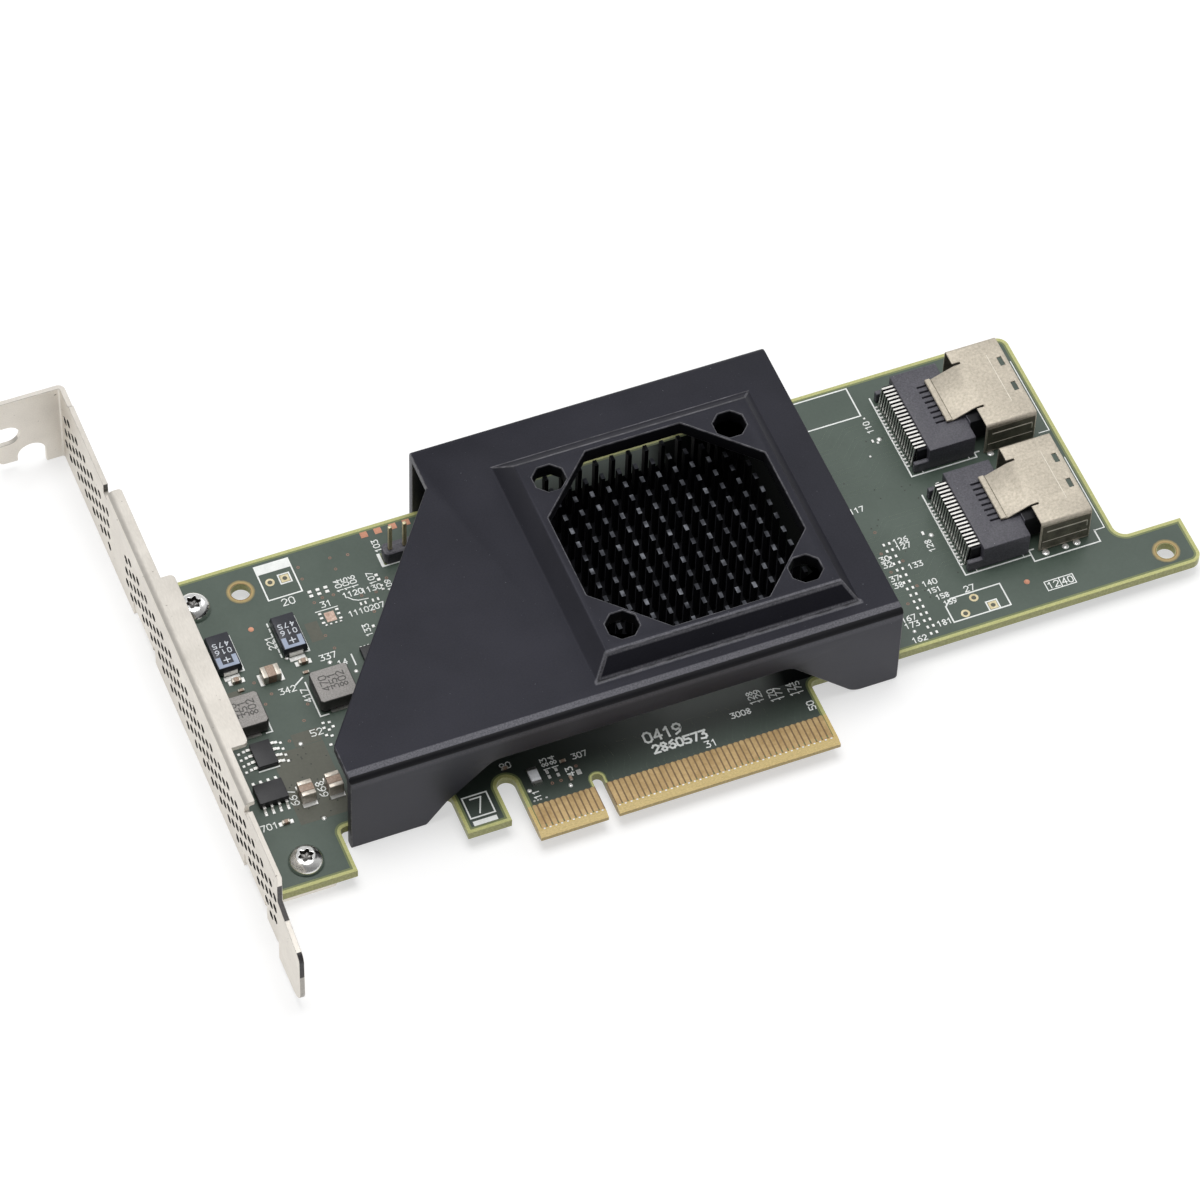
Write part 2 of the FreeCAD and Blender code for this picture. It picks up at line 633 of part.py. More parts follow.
def platform_rectangle(z, grow_share, inset):
    """Outline of the fan platform: 0 at its top edge, 1 at the foot of its slopes."""
    left = FAN_X - PLATFORM_WIDTH / 2 - SLOPE_LEFT * grow_share + inset
    right = FAN_X + PLATFORM_WIDTH / 2 + SLOPE_RIGHT * grow_share - inset
    front = FAN_Y - PLATFORM_DEPTH / 2 - SLOPE_FRONT * grow_share + inset
    rear = FAN_Y + PLATFORM_DEPTH / 2 + SLOPE_REAR * grow_share - inset
    return outline([(left, front), (right, front), (right, rear), (left, rear)], on_xy(z))


def fan_hole_places():
    """Axes of the four fan holes."""
    half = FAN_HOLE_SPACING / 2
    return [(FAN_X + a * half, FAN_Y + b * half) for a in (-1, 1) for b in (-1, 1)]


def shroud_clip(x, wall_y, inward):
    """Rib that sits on the board and hook that holds its underside, on one wall."""
    tip = wall_y + inward * (EDGE_FIT + CLIP_REACH)
    rib = [(wall_y, BOARD_TOP), (tip, BOARD_TOP), (tip, BOARD_TOP + CLIP_HEIGHT / 2),
           (wall_y, BOARD_TOP + CLIP_HEIGHT)]
    hook_top = BOARD_BOTTOM - CLIP_FIT
    hook = [(wall_y, hook_top), (wall_y + inward * (EDGE_FIT + CLIP_REACH / 2), hook_top),
            (wall_y, SHROUD_BOTTOM)]
    low, high = span(x, CLIP_WIDTH)
    return [prism(profile, on_yz(low), V(high - low, 0, 0)) for profile in (rib, hook)]


def air_shroud():
    """Moulded cover: channel, raised fan platform with its openings, clips and cut-outs."""
    rise = Part.makeLoft([platform_rectangle(SHROUD_TOP, 1, 0),
                          platform_rectangle(PLATFORM_TOP, 0, 0)], True)
    hollow = Part.makeLoft([platform_rectangle(SHROUD_CEILING, 1, WALL),
                            platform_rectangle(PLATFORM_TOP - PLATFORM_THICKNESS, 0, WALL)], True)
    shroud = shroud_channel().fuse(rise).cut([hollow, skirt_cutout(), rear_cutout()])
    openings = [octagon(FAN_X, FAN_Y, FAN_OPENING, FAN_OPENING_FLAT)]
    openings += [regular_octagon(x, y, FAN_HOLE) for x, y in fan_hole_places()]
    above = PLATFORM_TOP + CUT_MARGIN
    shroud = shroud.cut([prism(corners, on_xy(SHROUD_CEILING), V(0, 0, above - SHROUD_CEILING))
                         for corners in openings])
    clips = []
    for x in REAR_CLIPS:
        clips += shroud_clip(x, SHROUD_REAR - WALL, -1)
    for x in FRONT_CLIPS:
        clips += shroud_clip(x, SHROUD_FRONT + WALL, 1)
    return shroud.fuse(clips).removeSplitter()


def heatsink():
    """Square base with a grid of rectangular pins."""
    reach = (PIN_COUNT - 1) * PIN_PITCH
    base_width = reach + PIN_DEPTH + 2 * SINK_MARGIN
    base = block(span(SINK_X, base_width), span(SINK_Y, base_width), (SINK_BOTTOM, PIN_BOTTOM))
    steps = [index * PIN_PITCH - reach / 2 for index in range(PIN_COUNT)]
    pins = [block(span(SINK_X + a, PIN_WIDTH), span(SINK_Y + b, PIN_DEPTH), (PIN_BOTTOM, PIN_TOP))
            for a in steps for b in steps]
    return base.fuse(pins)


def chip(place, size, lift=0):
    """Package of a chip, standing over its place on the board."""
    bottom = BOARD_TOP + lift
    return block(span(place[0], size[0]), span(place[1], size[1]), (bottom, bottom + size[2]))


def gull_leads(place, size):
    """Bent leads along the front and rear of a small-outline chip."""
    leads = []
    tall, low = BOARD_TOP + GULL_HEIGHT, BOARD_TOP + GULL_SHEET
    for side in (-1, 1):
        wall = place[1] + side * size[1] / 2
        knee = wall + side * (GULL_REACH - GULL_FOOT)
        end = wall + side * GULL_REACH
        profile = [(wall, tall), (knee, tall), (knee, low), (end, low), (end, BOARD_TOP),
                   (knee - side * GULL_SHEET, BOARD_TOP),
                   (knee - side * GULL_SHEET, tall - GULL_SHEET), (wall, tall - GULL_SHEET)]
        first = place[0] - (GULL_COUNT - 1) / 2 * GULL_PITCH - GULL_WIDTH / 2
        leads += [prism(profile, on_yz(first + index * GULL_PITCH), V(GULL_WIDTH, 0, 0))
                  for index in range(GULL_COUNT)]
    return group(leads)


def power_leads():
    """Flat leads on both sides of the power chip."""
    leads = []
    first = POWER_CHIP_PLACE[1] - (POWER_LEAD_COUNT - 1) / 2 * POWER_LEAD_PITCH
    length, width, height = POWER_LEAD_SIZE
    for side in (-1, 1):
        wall = POWER_CHIP_PLACE[0] + side * POWER_CHIP_SIZE[0] / 2
        x_span = sorted((wall, wall + side * length))
        leads += [block(x_span, span(first + index * POWER_LEAD_PITCH, width),
                        (BOARD_TOP, BOARD_TOP + height)) for index in range(POWER_LEAD_COUNT)]
    return group(leads)


def tantalum_body(place):
    """Moulded capacitor body with sides that lean in above the parting line."""
    width, length, height = TANTALUM_SIZE
    lean = height / 12
    middle = BOARD_TOP + STRIP_SHEET + height / 2
    levels = ((BOARD_TOP + STRIP_SHEET, lean), (middle, 0), (middle + height / 2, lean))
    wires = []
    for z, inset in levels:
        (left, right), (near, far) = span(place[0], width - 2 * inset), span(place[1], length - 2 * inset)
        wires.append(outline([(left, near), (right, near), (right, far), (left, far)], on_xy(z)))
    return Part.makeLoft(wires, True, True)


def tantalum_strips():
    """Metal strips that turn down both ends of each capacitor and under it."""
    strips = []
    for place in TANTALUM_PLACES.values():
        for side in (-1, 1):
            wall = place[1] + side * TANTALUM_SIZE[1] / 2
            out = wall + side * STRIP_SHEET
            under = wall - side * TANTALUM_FOOT
            top, low = BOARD_TOP + TANTALUM_STRIP_HEIGHT, BOARD_TOP + STRIP_SHEET
            profile = [(out, top), (out, BOARD_TOP), (under, BOARD_TOP), (under, low), (wall, low),
                       (wall, top)]
            left, right = span(place[0], TANTALUM_STRIP)
            strips.append(prism(profile, on_yz(left), V(right - left, 0, 0)))
    return group(strips)


def inductor(place):
    """Pressed body with bevelled corners."""
    (left, right), (near, far) = span(place[0], INDUCTOR_SIZE[0]), span(place[1], INDUCTOR_SIZE[1])
    cut = INDUCTOR_CORNER
    plan = [(left + cut, near), (right - cut, near), (right, near + cut), (right, far - cut),
            (right - cut, far), (left + cut, far), (left, far - cut), (left, near + cut)]
    return prism(plan, on_xy(BOARD_TOP + INDUCTOR_LIFT), V(0, 0, INDUCTOR_SIZE[2]))


def inductor_strips():
    """Flat terminals under the front and rear of each inductor."""
    strips = []
    for x, y in INDUCTOR_PLACES.values():
        for side in (-1, 1):
            wall = y + side * INDUCTOR_SIZE[1] / 2
            y_span = sorted((wall - side * INDUCTOR_STRIP_REACH * 3, wall + side * INDUCTOR_STRIP_REACH))
            strips.append(block(span(x, INDUCTOR_STRIP), y_span, (BOARD_TOP, BOARD_TOP + INDUCTOR_LIFT)))
    return group(strips)


def chip_component(place, size, axis, end_length):
    """Body and two metal ends of a small two-ended part."""
    spans = [span(place[0], size[0]), span(place[1], size[1]), (BOARD_TOP, BOARD_TOP + size[2])]
    index = 0 if axis == "x" else 1
    low, high = spans[index]
    pieces = []
    for ends in ((low + end_length, high - end_length), (low, low + end_length), (high - end_length, high)):
        cut = list(spans)
        cut[index] = ends
        pieces.append(block(*cut))
    return pieces[0], pieces[1:]


def ceramic_capacitors():
    """Bodies and metal ends of all ceramic capacitors."""
    bodies, ends = [], []
    for place, size, axis in CERAMICS:
        length = size[0] if axis == "x" else size[1]
        body, metal = chip_component(place, size, axis, length * CERAMIC_END)
        bodies.append(body)
        ends += metal
    return group(bodies), group(ends)


def header_base():
    """Plastic base of the pin header, with bevelled corners and a hole for each pin."""
    places = header_pin_places()
    half, cut = HEADER_BASE / 2, HEADER_CHAMFER
    near, far = HEADER_PLACE[1] - half, HEADER_PLACE[1] + half
    left, right = places[0][0] - half, places[-1][0] + half
    plan = [(left + cut, near), (right - cut, near), (right, near + cut), (right, far - cut),
            (right - cut, far), (left + cut, far), (left, far - cut), (left, near + cut)]
    base = prism(plan, on_xy(BOARD_TOP), V(0, 0, HEADER_BASE))
    tall = (BOARD_TOP, BOARD_TOP + HEADER_BASE)
    return base.cut([block(span(x, HEADER_PIN), span(y, HEADER_PIN), tall) for x, y in places])


def header_pins():
    """Square pins through the header's base and the board."""
    ends = (BOARD_BOTTOM - HEADER_PIN_TAIL, BOARD_TOP + HEADER_PIN_TOP)
    return group([block(span(x, HEADER_PIN), span(y, HEADER_PIN), ends)
                  for x, y in header_pin_places()])


def port_housing(y):
    """Connector body: block, two cheeks beside the leads and a slotted nose in the cage."""
    width = span(y, HOUSING_WIDTH)
    right = HOUSING_LEFT + HOUSING_LENGTH
    body = block((HOUSING_LEFT, right), width, (BOARD_TOP, BOARD_TOP + HOUSING_HEIGHT))
    cheek_x = (HOUSING_LEFT - CHEEK_LENGTH, HOUSING_LEFT)
    cheek_z = (BOARD_TOP, BOARD_TOP + CHEEK_HEIGHT)
    cheeks = [block(cheek_x, (width[0], width[0] + CHEEK_WIDTH), cheek_z),
              block(cheek_x, (width[1] - CHEEK_WIDTH, width[1]), cheek_z)]
    nose_width = CAGE_WIDTH - 2 * (CAGE_SHEET + NOSE_GAP)
    nose_z = (BOARD_TOP + NOSE_LOW, BOARD_TOP + NOSE_HIGH)
    nose = block((right, right + NOSE_LENGTH), span(y, nose_width), nose_z)
    slot = block((right + NOSE_LENGTH - CARD_SLOT_DEPTH, right + NOSE_LENGTH),
                 span(y, nose_width - 2 * CARD_SLOT_MARGIN), span(sum(nose_z) / 2, CARD_SLOT))
    return body.fuse(cheeks + [nose]).cut(slot)


def spring_leaf(y):
    """Leaf that runs from the cage's roof down onto the connector body."""
    roof = BOARD_TOP + CAGE_HEIGHT
    root = CAGE_LEFT + LEAF_SLIT_DEPTH
    low = BOARD_TOP + HOUSING_HEIGHT + LEAF_GAP
    lip = low + CAGE_SHEET
    profile = [(root, roof), (CAGE_LEFT, roof - CAGE_SHEET / 2), (LEAF_LOW_X, lip),
               (LEAF_END_X, lip + CAGE_SHEET / 2), (LEAF_END_X, lip - CAGE_SHEET / 2),
               (LEAF_LOW_X, low), (CAGE_LEFT, roof - CAGE_SHEET * 3 / 2), (root, roof - CAGE_SHEET)]
    near, far = span(y + LEAF_OFFSET, LEAF_WIDTH)
    return prism(profile, on_xz(near), V(0, far - near, 0))


def port_cage(y):
    """Metal cage open at both ends, with latch windows and a spring leaf."""
    low, high = span(y, CAGE_WIDTH)
    roof = BOARD_TOP + CAGE_HEIGHT
    section = [(low, BOARD_TOP), (low, roof, CAGE_CORNER), (high, roof, CAGE_CORNER), (high, BOARD_TOP),
               (high - CAGE_SHEET, BOARD_TOP), (high - CAGE_SHEET, roof - CAGE_SHEET),
               (low + CAGE_SHEET, roof - CAGE_SHEET), (low + CAGE_SHEET, BOARD_TOP)]
    cage = prism(section, on_yz(CAGE_LEFT), V(CAGE_LENGTH, 0, 0))
    roof_span = (roof - CAGE_SHEET * 2, roof + CAGE_SHEET)
    leaf_room = block((CAGE_LEFT, CAGE_LEFT + LEAF_SLIT_DEPTH),
                      span(y + LEAF_OFFSET, LEAF_WIDTH + 2 * LEAF_SLIT), roof_span)
    window_x = CAGE_LEFT + CAGE_LENGTH - LATCH_INSET
    windows = [block(span(window_x, LATCH_LENGTH), span(y + LEAF_OFFSET + side * LATCH_SPACING / 2,
                     LATCH_WIDTH), roof_span) for side in (-1, 1)]
    return cage.cut([leaf_room] + windows).fuse(spring_leaf(y))


def port_leads(y):
    """Row of leads, each a bar out of the connector body that turns down to the board."""
    tall = BOARD_TOP + LEAD_HEIGHT
    knee = HOUSING_LEFT - LEAD_REACH
    heel = knee - LEAD_SLANT
    profile = [(HOUSING_LEFT, tall), (knee, tall), (heel, BOARD_TOP), (heel + LEAD_SHEET, BOARD_TOP),
               (knee + LEAD_SHEET, tall - LEAD_SHEET), (HOUSING_LEFT, tall - LEAD_SHEET)]
    first = y - (LEAD_COUNT - 1) / 2 * LEAD_PITCH - LEAD_WIDTH / 2
    return group([prism(profile, on_xz(first + index * LEAD_PITCH), V(0, LEAD_WIDTH, 0))
                  for index in range(LEAD_COUNT)])


def build():
    """All pieces by name."""
    sink_pad = CHIP_WIDTH - 2 * THERMAL_PAD_MARGIN
    sink_place = (SINK_X, SINK_Y)
    ceramic_bodies, ceramic_ends = ceramic_capacitors()
    fuse_body, fuse_ends = chip_component(FUSE_PLACE, FUSE_SIZE, "y", FUSE_END)
    pieces = {
        "circuit_board": circuit_board(),
        "edge_contacts_top": edge_contacts((BOARD_TOP, BOARD_TOP + PAD_THICKNESS)),
        "edge_contacts_bottom": edge_contacts((BOARD_BOTTOM - PAD_THICKNESS, BOARD_BOTTOM)),
        "io_bracket": io_bracket(),
        "bracket_screw_front": bracket_screw(SCREW_YS[0]),
        "bracket_screw_rear": bracket_screw(SCREW_YS[1]),
        "air_shroud": air_shroud(),
        "heatsink": heatsink(),
        "thermal_pad": chip(sink_place, (sink_pad, sink_pad, THERMAL_PAD), CHIP_HEIGHT),
        "controller_chip": chip(sink_place, (CHIP_WIDTH, CHIP_WIDTH, CHIP_HEIGHT)),
        "tantalum_strips": tantalum_strips(),
        "inductor_strips": inductor_strips(),
        "power_chip": chip(POWER_CHIP_PLACE, POWER_CHIP_SIZE),
        "power_chip_leads": power_leads(),
        "memory_chip": chip(MEMORY_PLACE, MEMORY_SIZE, MEMORY_LIFT),
        "memory_chip_leads": gull_leads(MEMORY_PLACE, MEMORY_SIZE),
        "boot_flash": chip(FLASH_PLACE, FLASH_SIZE),
        "monitor_chip": chip(MONITOR_PLACE, MONITOR_SIZE),
        "clock_crystal": chip(CRYSTAL_PLACE, CRYSTAL_SIZE),
        "ceramic_capacitors": ceramic_bodies,
        "ceramic_capacitor_ends": ceramic_ends,
        "fuse_body": fuse_body,
        "fuse_ends": group(fuse_ends),
        "pin_header_base": header_base(),
        "pin_header_pins": header_pins(),
    }
    for side, place in TANTALUM_PLACES.items():
        pieces["tantalum_capacitor_" + side] = tantalum_body(place)
    for side, place in INDUCTOR_PLACES.items():
        pieces["inductor_" + side] = inductor(place)
    for side, y in PORT_YS.items():
        pieces["port_housing_" + side] = port_housing(y)
        pieces["port_cage_" + side] = port_cage(y)
        pieces["port_leads_" + side] = port_leads(y)
    return pieces


os.makedirs("parts", exist_ok=True)
for name, shape in build().items():
    shape.exportStep("parts/" + name + ".step")
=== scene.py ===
"""Looks of the host bus adapter: finishes, prints, solder, rounded edges and small parts.

All sizes are in millimetres in the card's own frame: X from the bracket to the tail, Y from the
finger edge to the rear edge, Z up from the board.  The frame's solids stay where they are.
"""
import math

import bmesh
import bpy
import numpy as np
from mathutils import Matrix, Vector


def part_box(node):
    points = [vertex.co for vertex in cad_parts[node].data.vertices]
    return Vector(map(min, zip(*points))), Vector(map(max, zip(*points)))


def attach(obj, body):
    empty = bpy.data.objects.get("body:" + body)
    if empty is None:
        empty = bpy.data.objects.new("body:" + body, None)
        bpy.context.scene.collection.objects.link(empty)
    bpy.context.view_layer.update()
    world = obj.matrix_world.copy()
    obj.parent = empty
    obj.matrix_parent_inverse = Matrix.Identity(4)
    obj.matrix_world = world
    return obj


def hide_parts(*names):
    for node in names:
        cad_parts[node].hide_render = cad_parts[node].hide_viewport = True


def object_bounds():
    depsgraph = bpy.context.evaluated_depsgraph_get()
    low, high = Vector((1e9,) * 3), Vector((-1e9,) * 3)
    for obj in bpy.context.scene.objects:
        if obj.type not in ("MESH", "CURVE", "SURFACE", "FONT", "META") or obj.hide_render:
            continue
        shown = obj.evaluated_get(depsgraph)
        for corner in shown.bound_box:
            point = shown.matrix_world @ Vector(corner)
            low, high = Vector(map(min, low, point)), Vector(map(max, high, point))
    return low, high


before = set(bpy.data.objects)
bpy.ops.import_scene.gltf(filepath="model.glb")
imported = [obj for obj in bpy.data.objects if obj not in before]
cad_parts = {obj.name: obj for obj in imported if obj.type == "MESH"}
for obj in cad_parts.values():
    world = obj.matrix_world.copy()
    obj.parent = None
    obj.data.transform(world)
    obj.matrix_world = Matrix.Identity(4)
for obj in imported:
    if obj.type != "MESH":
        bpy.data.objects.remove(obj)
cad_box = [list(corner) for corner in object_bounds()]

MM = 0.001
TINY = 1e-9
SEED = 7


def edges_of(node):
    """Lowest and highest corner of a solid, in millimetres."""
    return [np.array(corner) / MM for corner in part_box(node)]


# Levels read from the frame; the shroud's flat top is level with the bracket's upper edge
(_, _, UNDER), (_, BOARD_REAR, TOP) = edges_of("circuit_board")
(_, SHROUD_FRONT, SHROUD_FOOT), (SHROUD_RIGHT, _, _) = edges_of("air_shroud")
(_, _, BRACKET_LOW), (_, _, SHROUD_TOP) = edges_of("io_bracket")
FLOOR = cad_box[0][2] / MM

# Thin layers on the board
MASK_STEP, INK, COPPER = 0.006, 0.018, 0.03
COPPER_BEVEL = COPPER / 3
MARGIN_WIDTH, HOLE_MARGIN = 0.95, 0.55
BARE_SHARE = 0.62
LINE, FINE_LINE, BOLD_LINE = 0.25, 0.17, 0.36
BAR_STAGGER, BAR_LEVELS = 0.12, 6

# Finger tab
FINGER_LEFT, FINGER_MASK = -12.7, 6.15
KEY_SIDE, KEY_TO_PAD = 0.95, 0.55
NOTCH_REACH, NOTCH_START, NOTCH_TOP = KEY_SIDE + 0.2, 0.3, 9.0
FIRST_PAD = KEY_SIDE + KEY_TO_PAD
SHORT_PADS, LONG_PADS = 11, 38
PAD_MIDDLES = np.concatenate([-FIRST_PAD - np.arange(SHORT_PADS), FIRST_PAD + np.arange(LONG_PADS)])
PAD_START, PAD_HALF, PAD_ARC_POINTS = 1.5, 0.36, 9
STUB_SIZE, STUB_GAP, STUB_BEVEL = (0.34, 0.26, 0.04), 0.12, 0.015
GAP_ENDS = (-11.95, 38.95)

# Bracket screws and the board's round holes
SCREW_X, SCREW_YS = -49.4, {"front": 8.9, "rear": 62.8}
SCREW_SIDES, SHANK = 72, 1.45
LOBES, LOBE_DEPTH = 6, 0.2
OPEN_HOLES = ((-41.0, 63.4), (105.8, 16.85))
BOARD_HOLES = OPEN_HOLES + tuple((SCREW_X, y) for y in SCREW_YS.values())
HOLE_REACH = 2.2
RIM_INNER, RIM_OUTER, RIM_SIDES = 1.66, 2.5, 40

# Bracket: vents, and the cut edges of its tongue and flange
VENT_RADIUS, VENT_SIDES = 0.8, 14
VENT_STEP, VENT_COLUMN, VENT_LOWEST = 1.985, 3.08, 3.75
SHORT_COLUMN, LONG_COLUMN = 3, 4
VENT_FIELDS = ((80.2, 12, False), (-0.6, 37, True))
BRACKET_SHEET, BRACKET_FACE = 0.86, -58.01
TAB_KEEP_OUT, TAB_VENT_TOP = 6.05, 1.165
SHEARED_SLOPE, SHEARED_TIP, SHEARED_LOW = (-8.8, -1.0), (-16.0, -13.5), 6.5
SHOULDER_Y, FLANGE_CUT_Y, FLANGE_CUT_LOW = (-8.9, -1.0), (79.5, 84.0), 12.0

# Air shroud: fan opening, front slope of the platform, and the bend and skirt before it
FAN_X, FAN_Y = 25.7, 38.1
FAN_REACH, FAN_LOW, PLATFORM_CORNER = 19.5, 14.0, 1.5
SLOPE_FOOT_Y, SLOPE_TOP_Y = 15.6, 17.7
SLOPE_SIDES = ((2.9, 5.2), (48.7, 46.2))
# Painted highlight bands along the front slope's outline, behind the bend and on the skirt's top
HIGHLIGHT_INSIDE, HIGHLIGHT_OUTSIDE, HIGHLIGHT_FULL, HIGHLIGHT_FADE = 0.36, 0.6, 0.6, 0.3
BEND_ROUND, BEND_BAND, BEND_FADE = 1.0, 1.2, 0.2
SKIRT_BAND, SKIRT_FADE, SKIRT_OVERLAP, SKIRT_HIGHLIGHT = 1.5, 0.8, 0.4, 0.45
SKIRT_DEPTH, FOOT_ROUND, FOOT_SEGMENTS = 2.0, 1.3, 5
LEVEL_SLACK, EDGE_SLACK = 0.05, 0.02

# Drive ports
PORT_YS = {"front": 33.1, "rear": 55.35}
LEAD_COUNT, LEAD_PITCH, LEAD_TOE, TOE_STEP = 18, 0.8, 73.1, 0.35
HOUSING_RIGHT = 84.2
CAGE_HALF = 8.8
LEAF_MIDDLE, LEAF_HALF = 0.6, 4.6
COMB_X, COMB_COUNT, COMB_PITCH, COMB_FLOOR = 79.9, 8, 1.15, 4.5
COMB_HALF_LENGTH, COMB_HALF_WIDTH, COMB_HEIGHT = 0.9, 0.16, 1.0


def lead_ys(middle):
    """Middles of a port's leads along Y."""
    return middle + (np.arange(LEAD_COUNT) - (LEAD_COUNT - 1) / 2) * LEAD_PITCH


# Node trees

class Field:
    """Number or colour that varies over a finish; each sum or comparison on it adds a Math node."""

    def __init__(self, socket):
        self.socket = socket
        self.tree = socket.id_data

    def __add__(self, other):
        return maths("ADD", self, other)

    def __sub__(self, other):
        return maths("SUBTRACT", self, other)

    def __rsub__(self, other):
        return maths("SUBTRACT", other, self)

    def __mul__(self, other):
        return maths("MULTIPLY", self, other)

    def __truediv__(self, other):
        return maths("DIVIDE", self, other)

    def __gt__(self, other):
        return maths("GREATER_THAN", self, other)

    def __lt__(self, other):
        return maths("LESS_THAN", self, other)


def put(socket, value):
    """Links a field to a socket, or sets a number or colour on it."""
    if isinstance(value, Field):
        value.tree.links.new(value.socket, socket)
    else:
        socket.default_value = value


def fill(node, **values):
    """Puts values on a node's inputs by name, with _ for a space."""
    for name, value in values.items():
        put(node.inputs[name.replace("_", " ")], value)
    return node


def add_node(tree, kind, **values):
    """New node with values on its inputs."""
    return fill(tree.nodes.new(kind), **values)


def maths(operation, *values):
    """One sum on fields and numbers."""
    tree = next(value.tree for value in values if isinstance(value, Field))
    node = tree.nodes.new("ShaderNodeMath")
    node.operation = operation
    for socket, value in zip(node.inputs, values):
        put(socket, value)
    return Field(node.outputs["Value"])


def new_shader(name, roughness=0.5, metallic=0.0, specular=0.5):
    """Principled material with its constants set on its own sockets."""
    material = bpy.data.materials.new(name)
    material.use_nodes = True
    surface = material.node_tree.nodes["Principled BSDF"]
    fill(surface, Roughness=roughness, Metallic=metallic, Specular_IOR_Level=specular)
    return material, material.node_tree, surface


def object_place(tree, stretch=(1, 1, 1)):
    """Object coordinates, stretched along the axes."""
    coordinates = Field(tree.nodes.new("ShaderNodeTexCoord").outputs["Object"])
    mapping = add_node(tree, "ShaderNodeMapping", Vector=coordinates, Scale=stretch)
    return Field(mapping.outputs["Vector"])


def split_axes(vector):
    """The X, Y and Z of a vector field."""
    return [Field(socket) for socket in add_node(vector.tree, "ShaderNodeSeparateXYZ", Vector=vector).outputs]


def place_axes(tree):
    """Object coordinates in metres: across the card, along its depth and up."""
    return split_axes(object_place(tree))


def facing(tree, axis):
    """How far the surface faces along an axis: 1 or -1 square to it, 0 beside it."""
    normal = Field(tree.nodes.new("ShaderNodeNewGeometry").outputs["True Normal"])
    return split_axes(normal)["XYZ".index(axis)]


def noise(tree, size, detail=3.0, roughness=0.55, stretch=(1, 1, 1)):
    """Noise whose grains are about the given size in millimetres."""
    node = add_node(tree, "ShaderNodeTexNoise", Vector=object_place(tree, stretch), Scale=1 / (size * MM),
                    Detail=detail, Roughness=roughness)
    return Field(node.outputs["Fac"])


def ramp(share, *stops):
    """Colour blended along a share; each stop is a position and a colour."""
    node = add_node(share.tree, "ShaderNodeValToRGB", Fac=share)
    elements = node.color_ramp.elements
    while len(elements) < len(stops):
        elements.new(0.5)
    for element, (position, colour) in zip(elements, stops):
        element.position = position
        element.color = (*colour, 1)
    return Field(node.outputs["Color"])


def tones(share, dark, light, reach=0.14):
    """Colour that turns from dark to light within a reach on either side of a noise's middle."""
    return ramp(share, (0.5 - reach, dark), (0.5 + reach, light))


# Numbers of the Mix node's colour sockets
MIX_FIRST, MIX_SECOND, MIX_RESULT = 6, 7, 2


def blend(share, first, second):
    """Colour that goes from the first to the second as the share goes from 0 to 1."""
    node = share.tree.nodes.new("ShaderNodeMix")
    node.data_type = "RGBA"
    for key, value in (("Factor", share), (MIX_FIRST, first), (MIX_SECOND, second)):
        put(node.inputs[key], (*value, 1) if isinstance(value, tuple) else value)
    return Field(node.outputs[MIX_RESULT])


def spread(share, low, high):
    """Number that goes from low to high as the share goes from 0 to 1, and no further."""
    node = add_node(share.tree, "ShaderNodeMapRange", Value=share, To_Min=low, To_Max=high)
    return Field(node.outputs["Result"])


def within(value, low, high):
    """1 where a field in metres lies between two ends in millimetres, else 0."""
    return (value > low * MM) * (value < high * MM)


def soft_band(value, low, high, fade):
    """1 where a field in metres lies well between two ends in millimetres, fading to 0 at the ends."""
    nearest = maths("MINIMUM", value - low * MM, high * MM - value)
    return spread(nearest / (fade * MM), 0.0, 1.0)


def bump(surface, height, depth):
    """Relief of the given depth in millimetres."""
    node = add_node(height.tree, "ShaderNodeBump", Strength=1.0, Distance=depth * MM, Height=height)
    fill(surface, Normal=Field(node.outputs["Normal"]))


def mixed(first, second, share):
    """Sum of two fields: the first by a share and the second by the rest."""
    return first * share + second * (1 - share)


# Tones of the finishes below: pairs are dark then light, stops are positions along a noise with colours
MASK_TONES = ((0.043, 0.067, 0.050), (0.063, 0.091, 0.071))
# Colour of the mask where shade is painted on it
MASK_SHADED = (0.002, 0.003, 0.0025)
LAMINATE_TONES = ((0.38, 0.385, 0.135), (0.53, 0.535, 0.225))
FINGER_TONES = ((0.49, 0.355, 0.12), (0.66, 0.505, 0.20))
GAP_TONES = ((0.15, 0.09, 0.036), (0.24, 0.15, 0.063))
RIM_STOPS = ((0.68, (0.19, 0.115, 0.04)), (0.76, (0.42, 0.30, 0.115)), (0.86, (0.30, 0.23, 0.09)),
             (0.99, (0.052, 0.072, 0.054)))
PIN_TONES = ((0.0015, 0.0015, 0.0024), (0.0035, 0.0035, 0.005))
PIN_TIP_STOPS = ((0.36, (0.020, 0.021, 0.026)), (0.52, (0.062, 0.065, 0.075)), (0.68, (0.20, 0.21, 0.235)))
SHROUD_TONES = ((0.0085, 0.0085, 0.0125), (0.0165, 0.0162, 0.0225))
SHROUD_TINT = (0.86, 0.87, 1.0, 1)
# Painted shade on the shroud's front slope
SLOPE_SHADE_BLACK = (0.002, 0.002, 0.003)
# Painted highlight on the shroud's front edges
HIGHLIGHT_TONES = ((0.060, 0.060, 0.069), (0.138, 0.136, 0.150))
# Paler rounded edges of the shroud: partly wear, partly painted highlight
EDGE_WEAR_AND_HIGHLIGHT_STOPS = ((0.40, (0.024, 0.024, 0.030)), (0.64, (0.10, 0.098, 0.112)))
PORT_TONES = ((0.046, 0.045, 0.056), (0.084, 0.081, 0.099))
PLATE_TONES = ((0.79, 0.745, 0.68), (0.92, 0.875, 0.80))
# Painted shade on the bracket's faces turned up
PLATE_TOP_SHADE_TONES = ((0.49, 0.463, 0.422), (0.62, 0.588, 0.54))
CUT_PLATE_TONES = ((0.70, 0.66, 0.60), (0.82, 0.78, 0.71))
# Painted dark reflection on the tongue's cut edges
CUT_SHADE_TONES = ((0.016, 0.014, 0.015), (0.04, 0.035, 0.036))

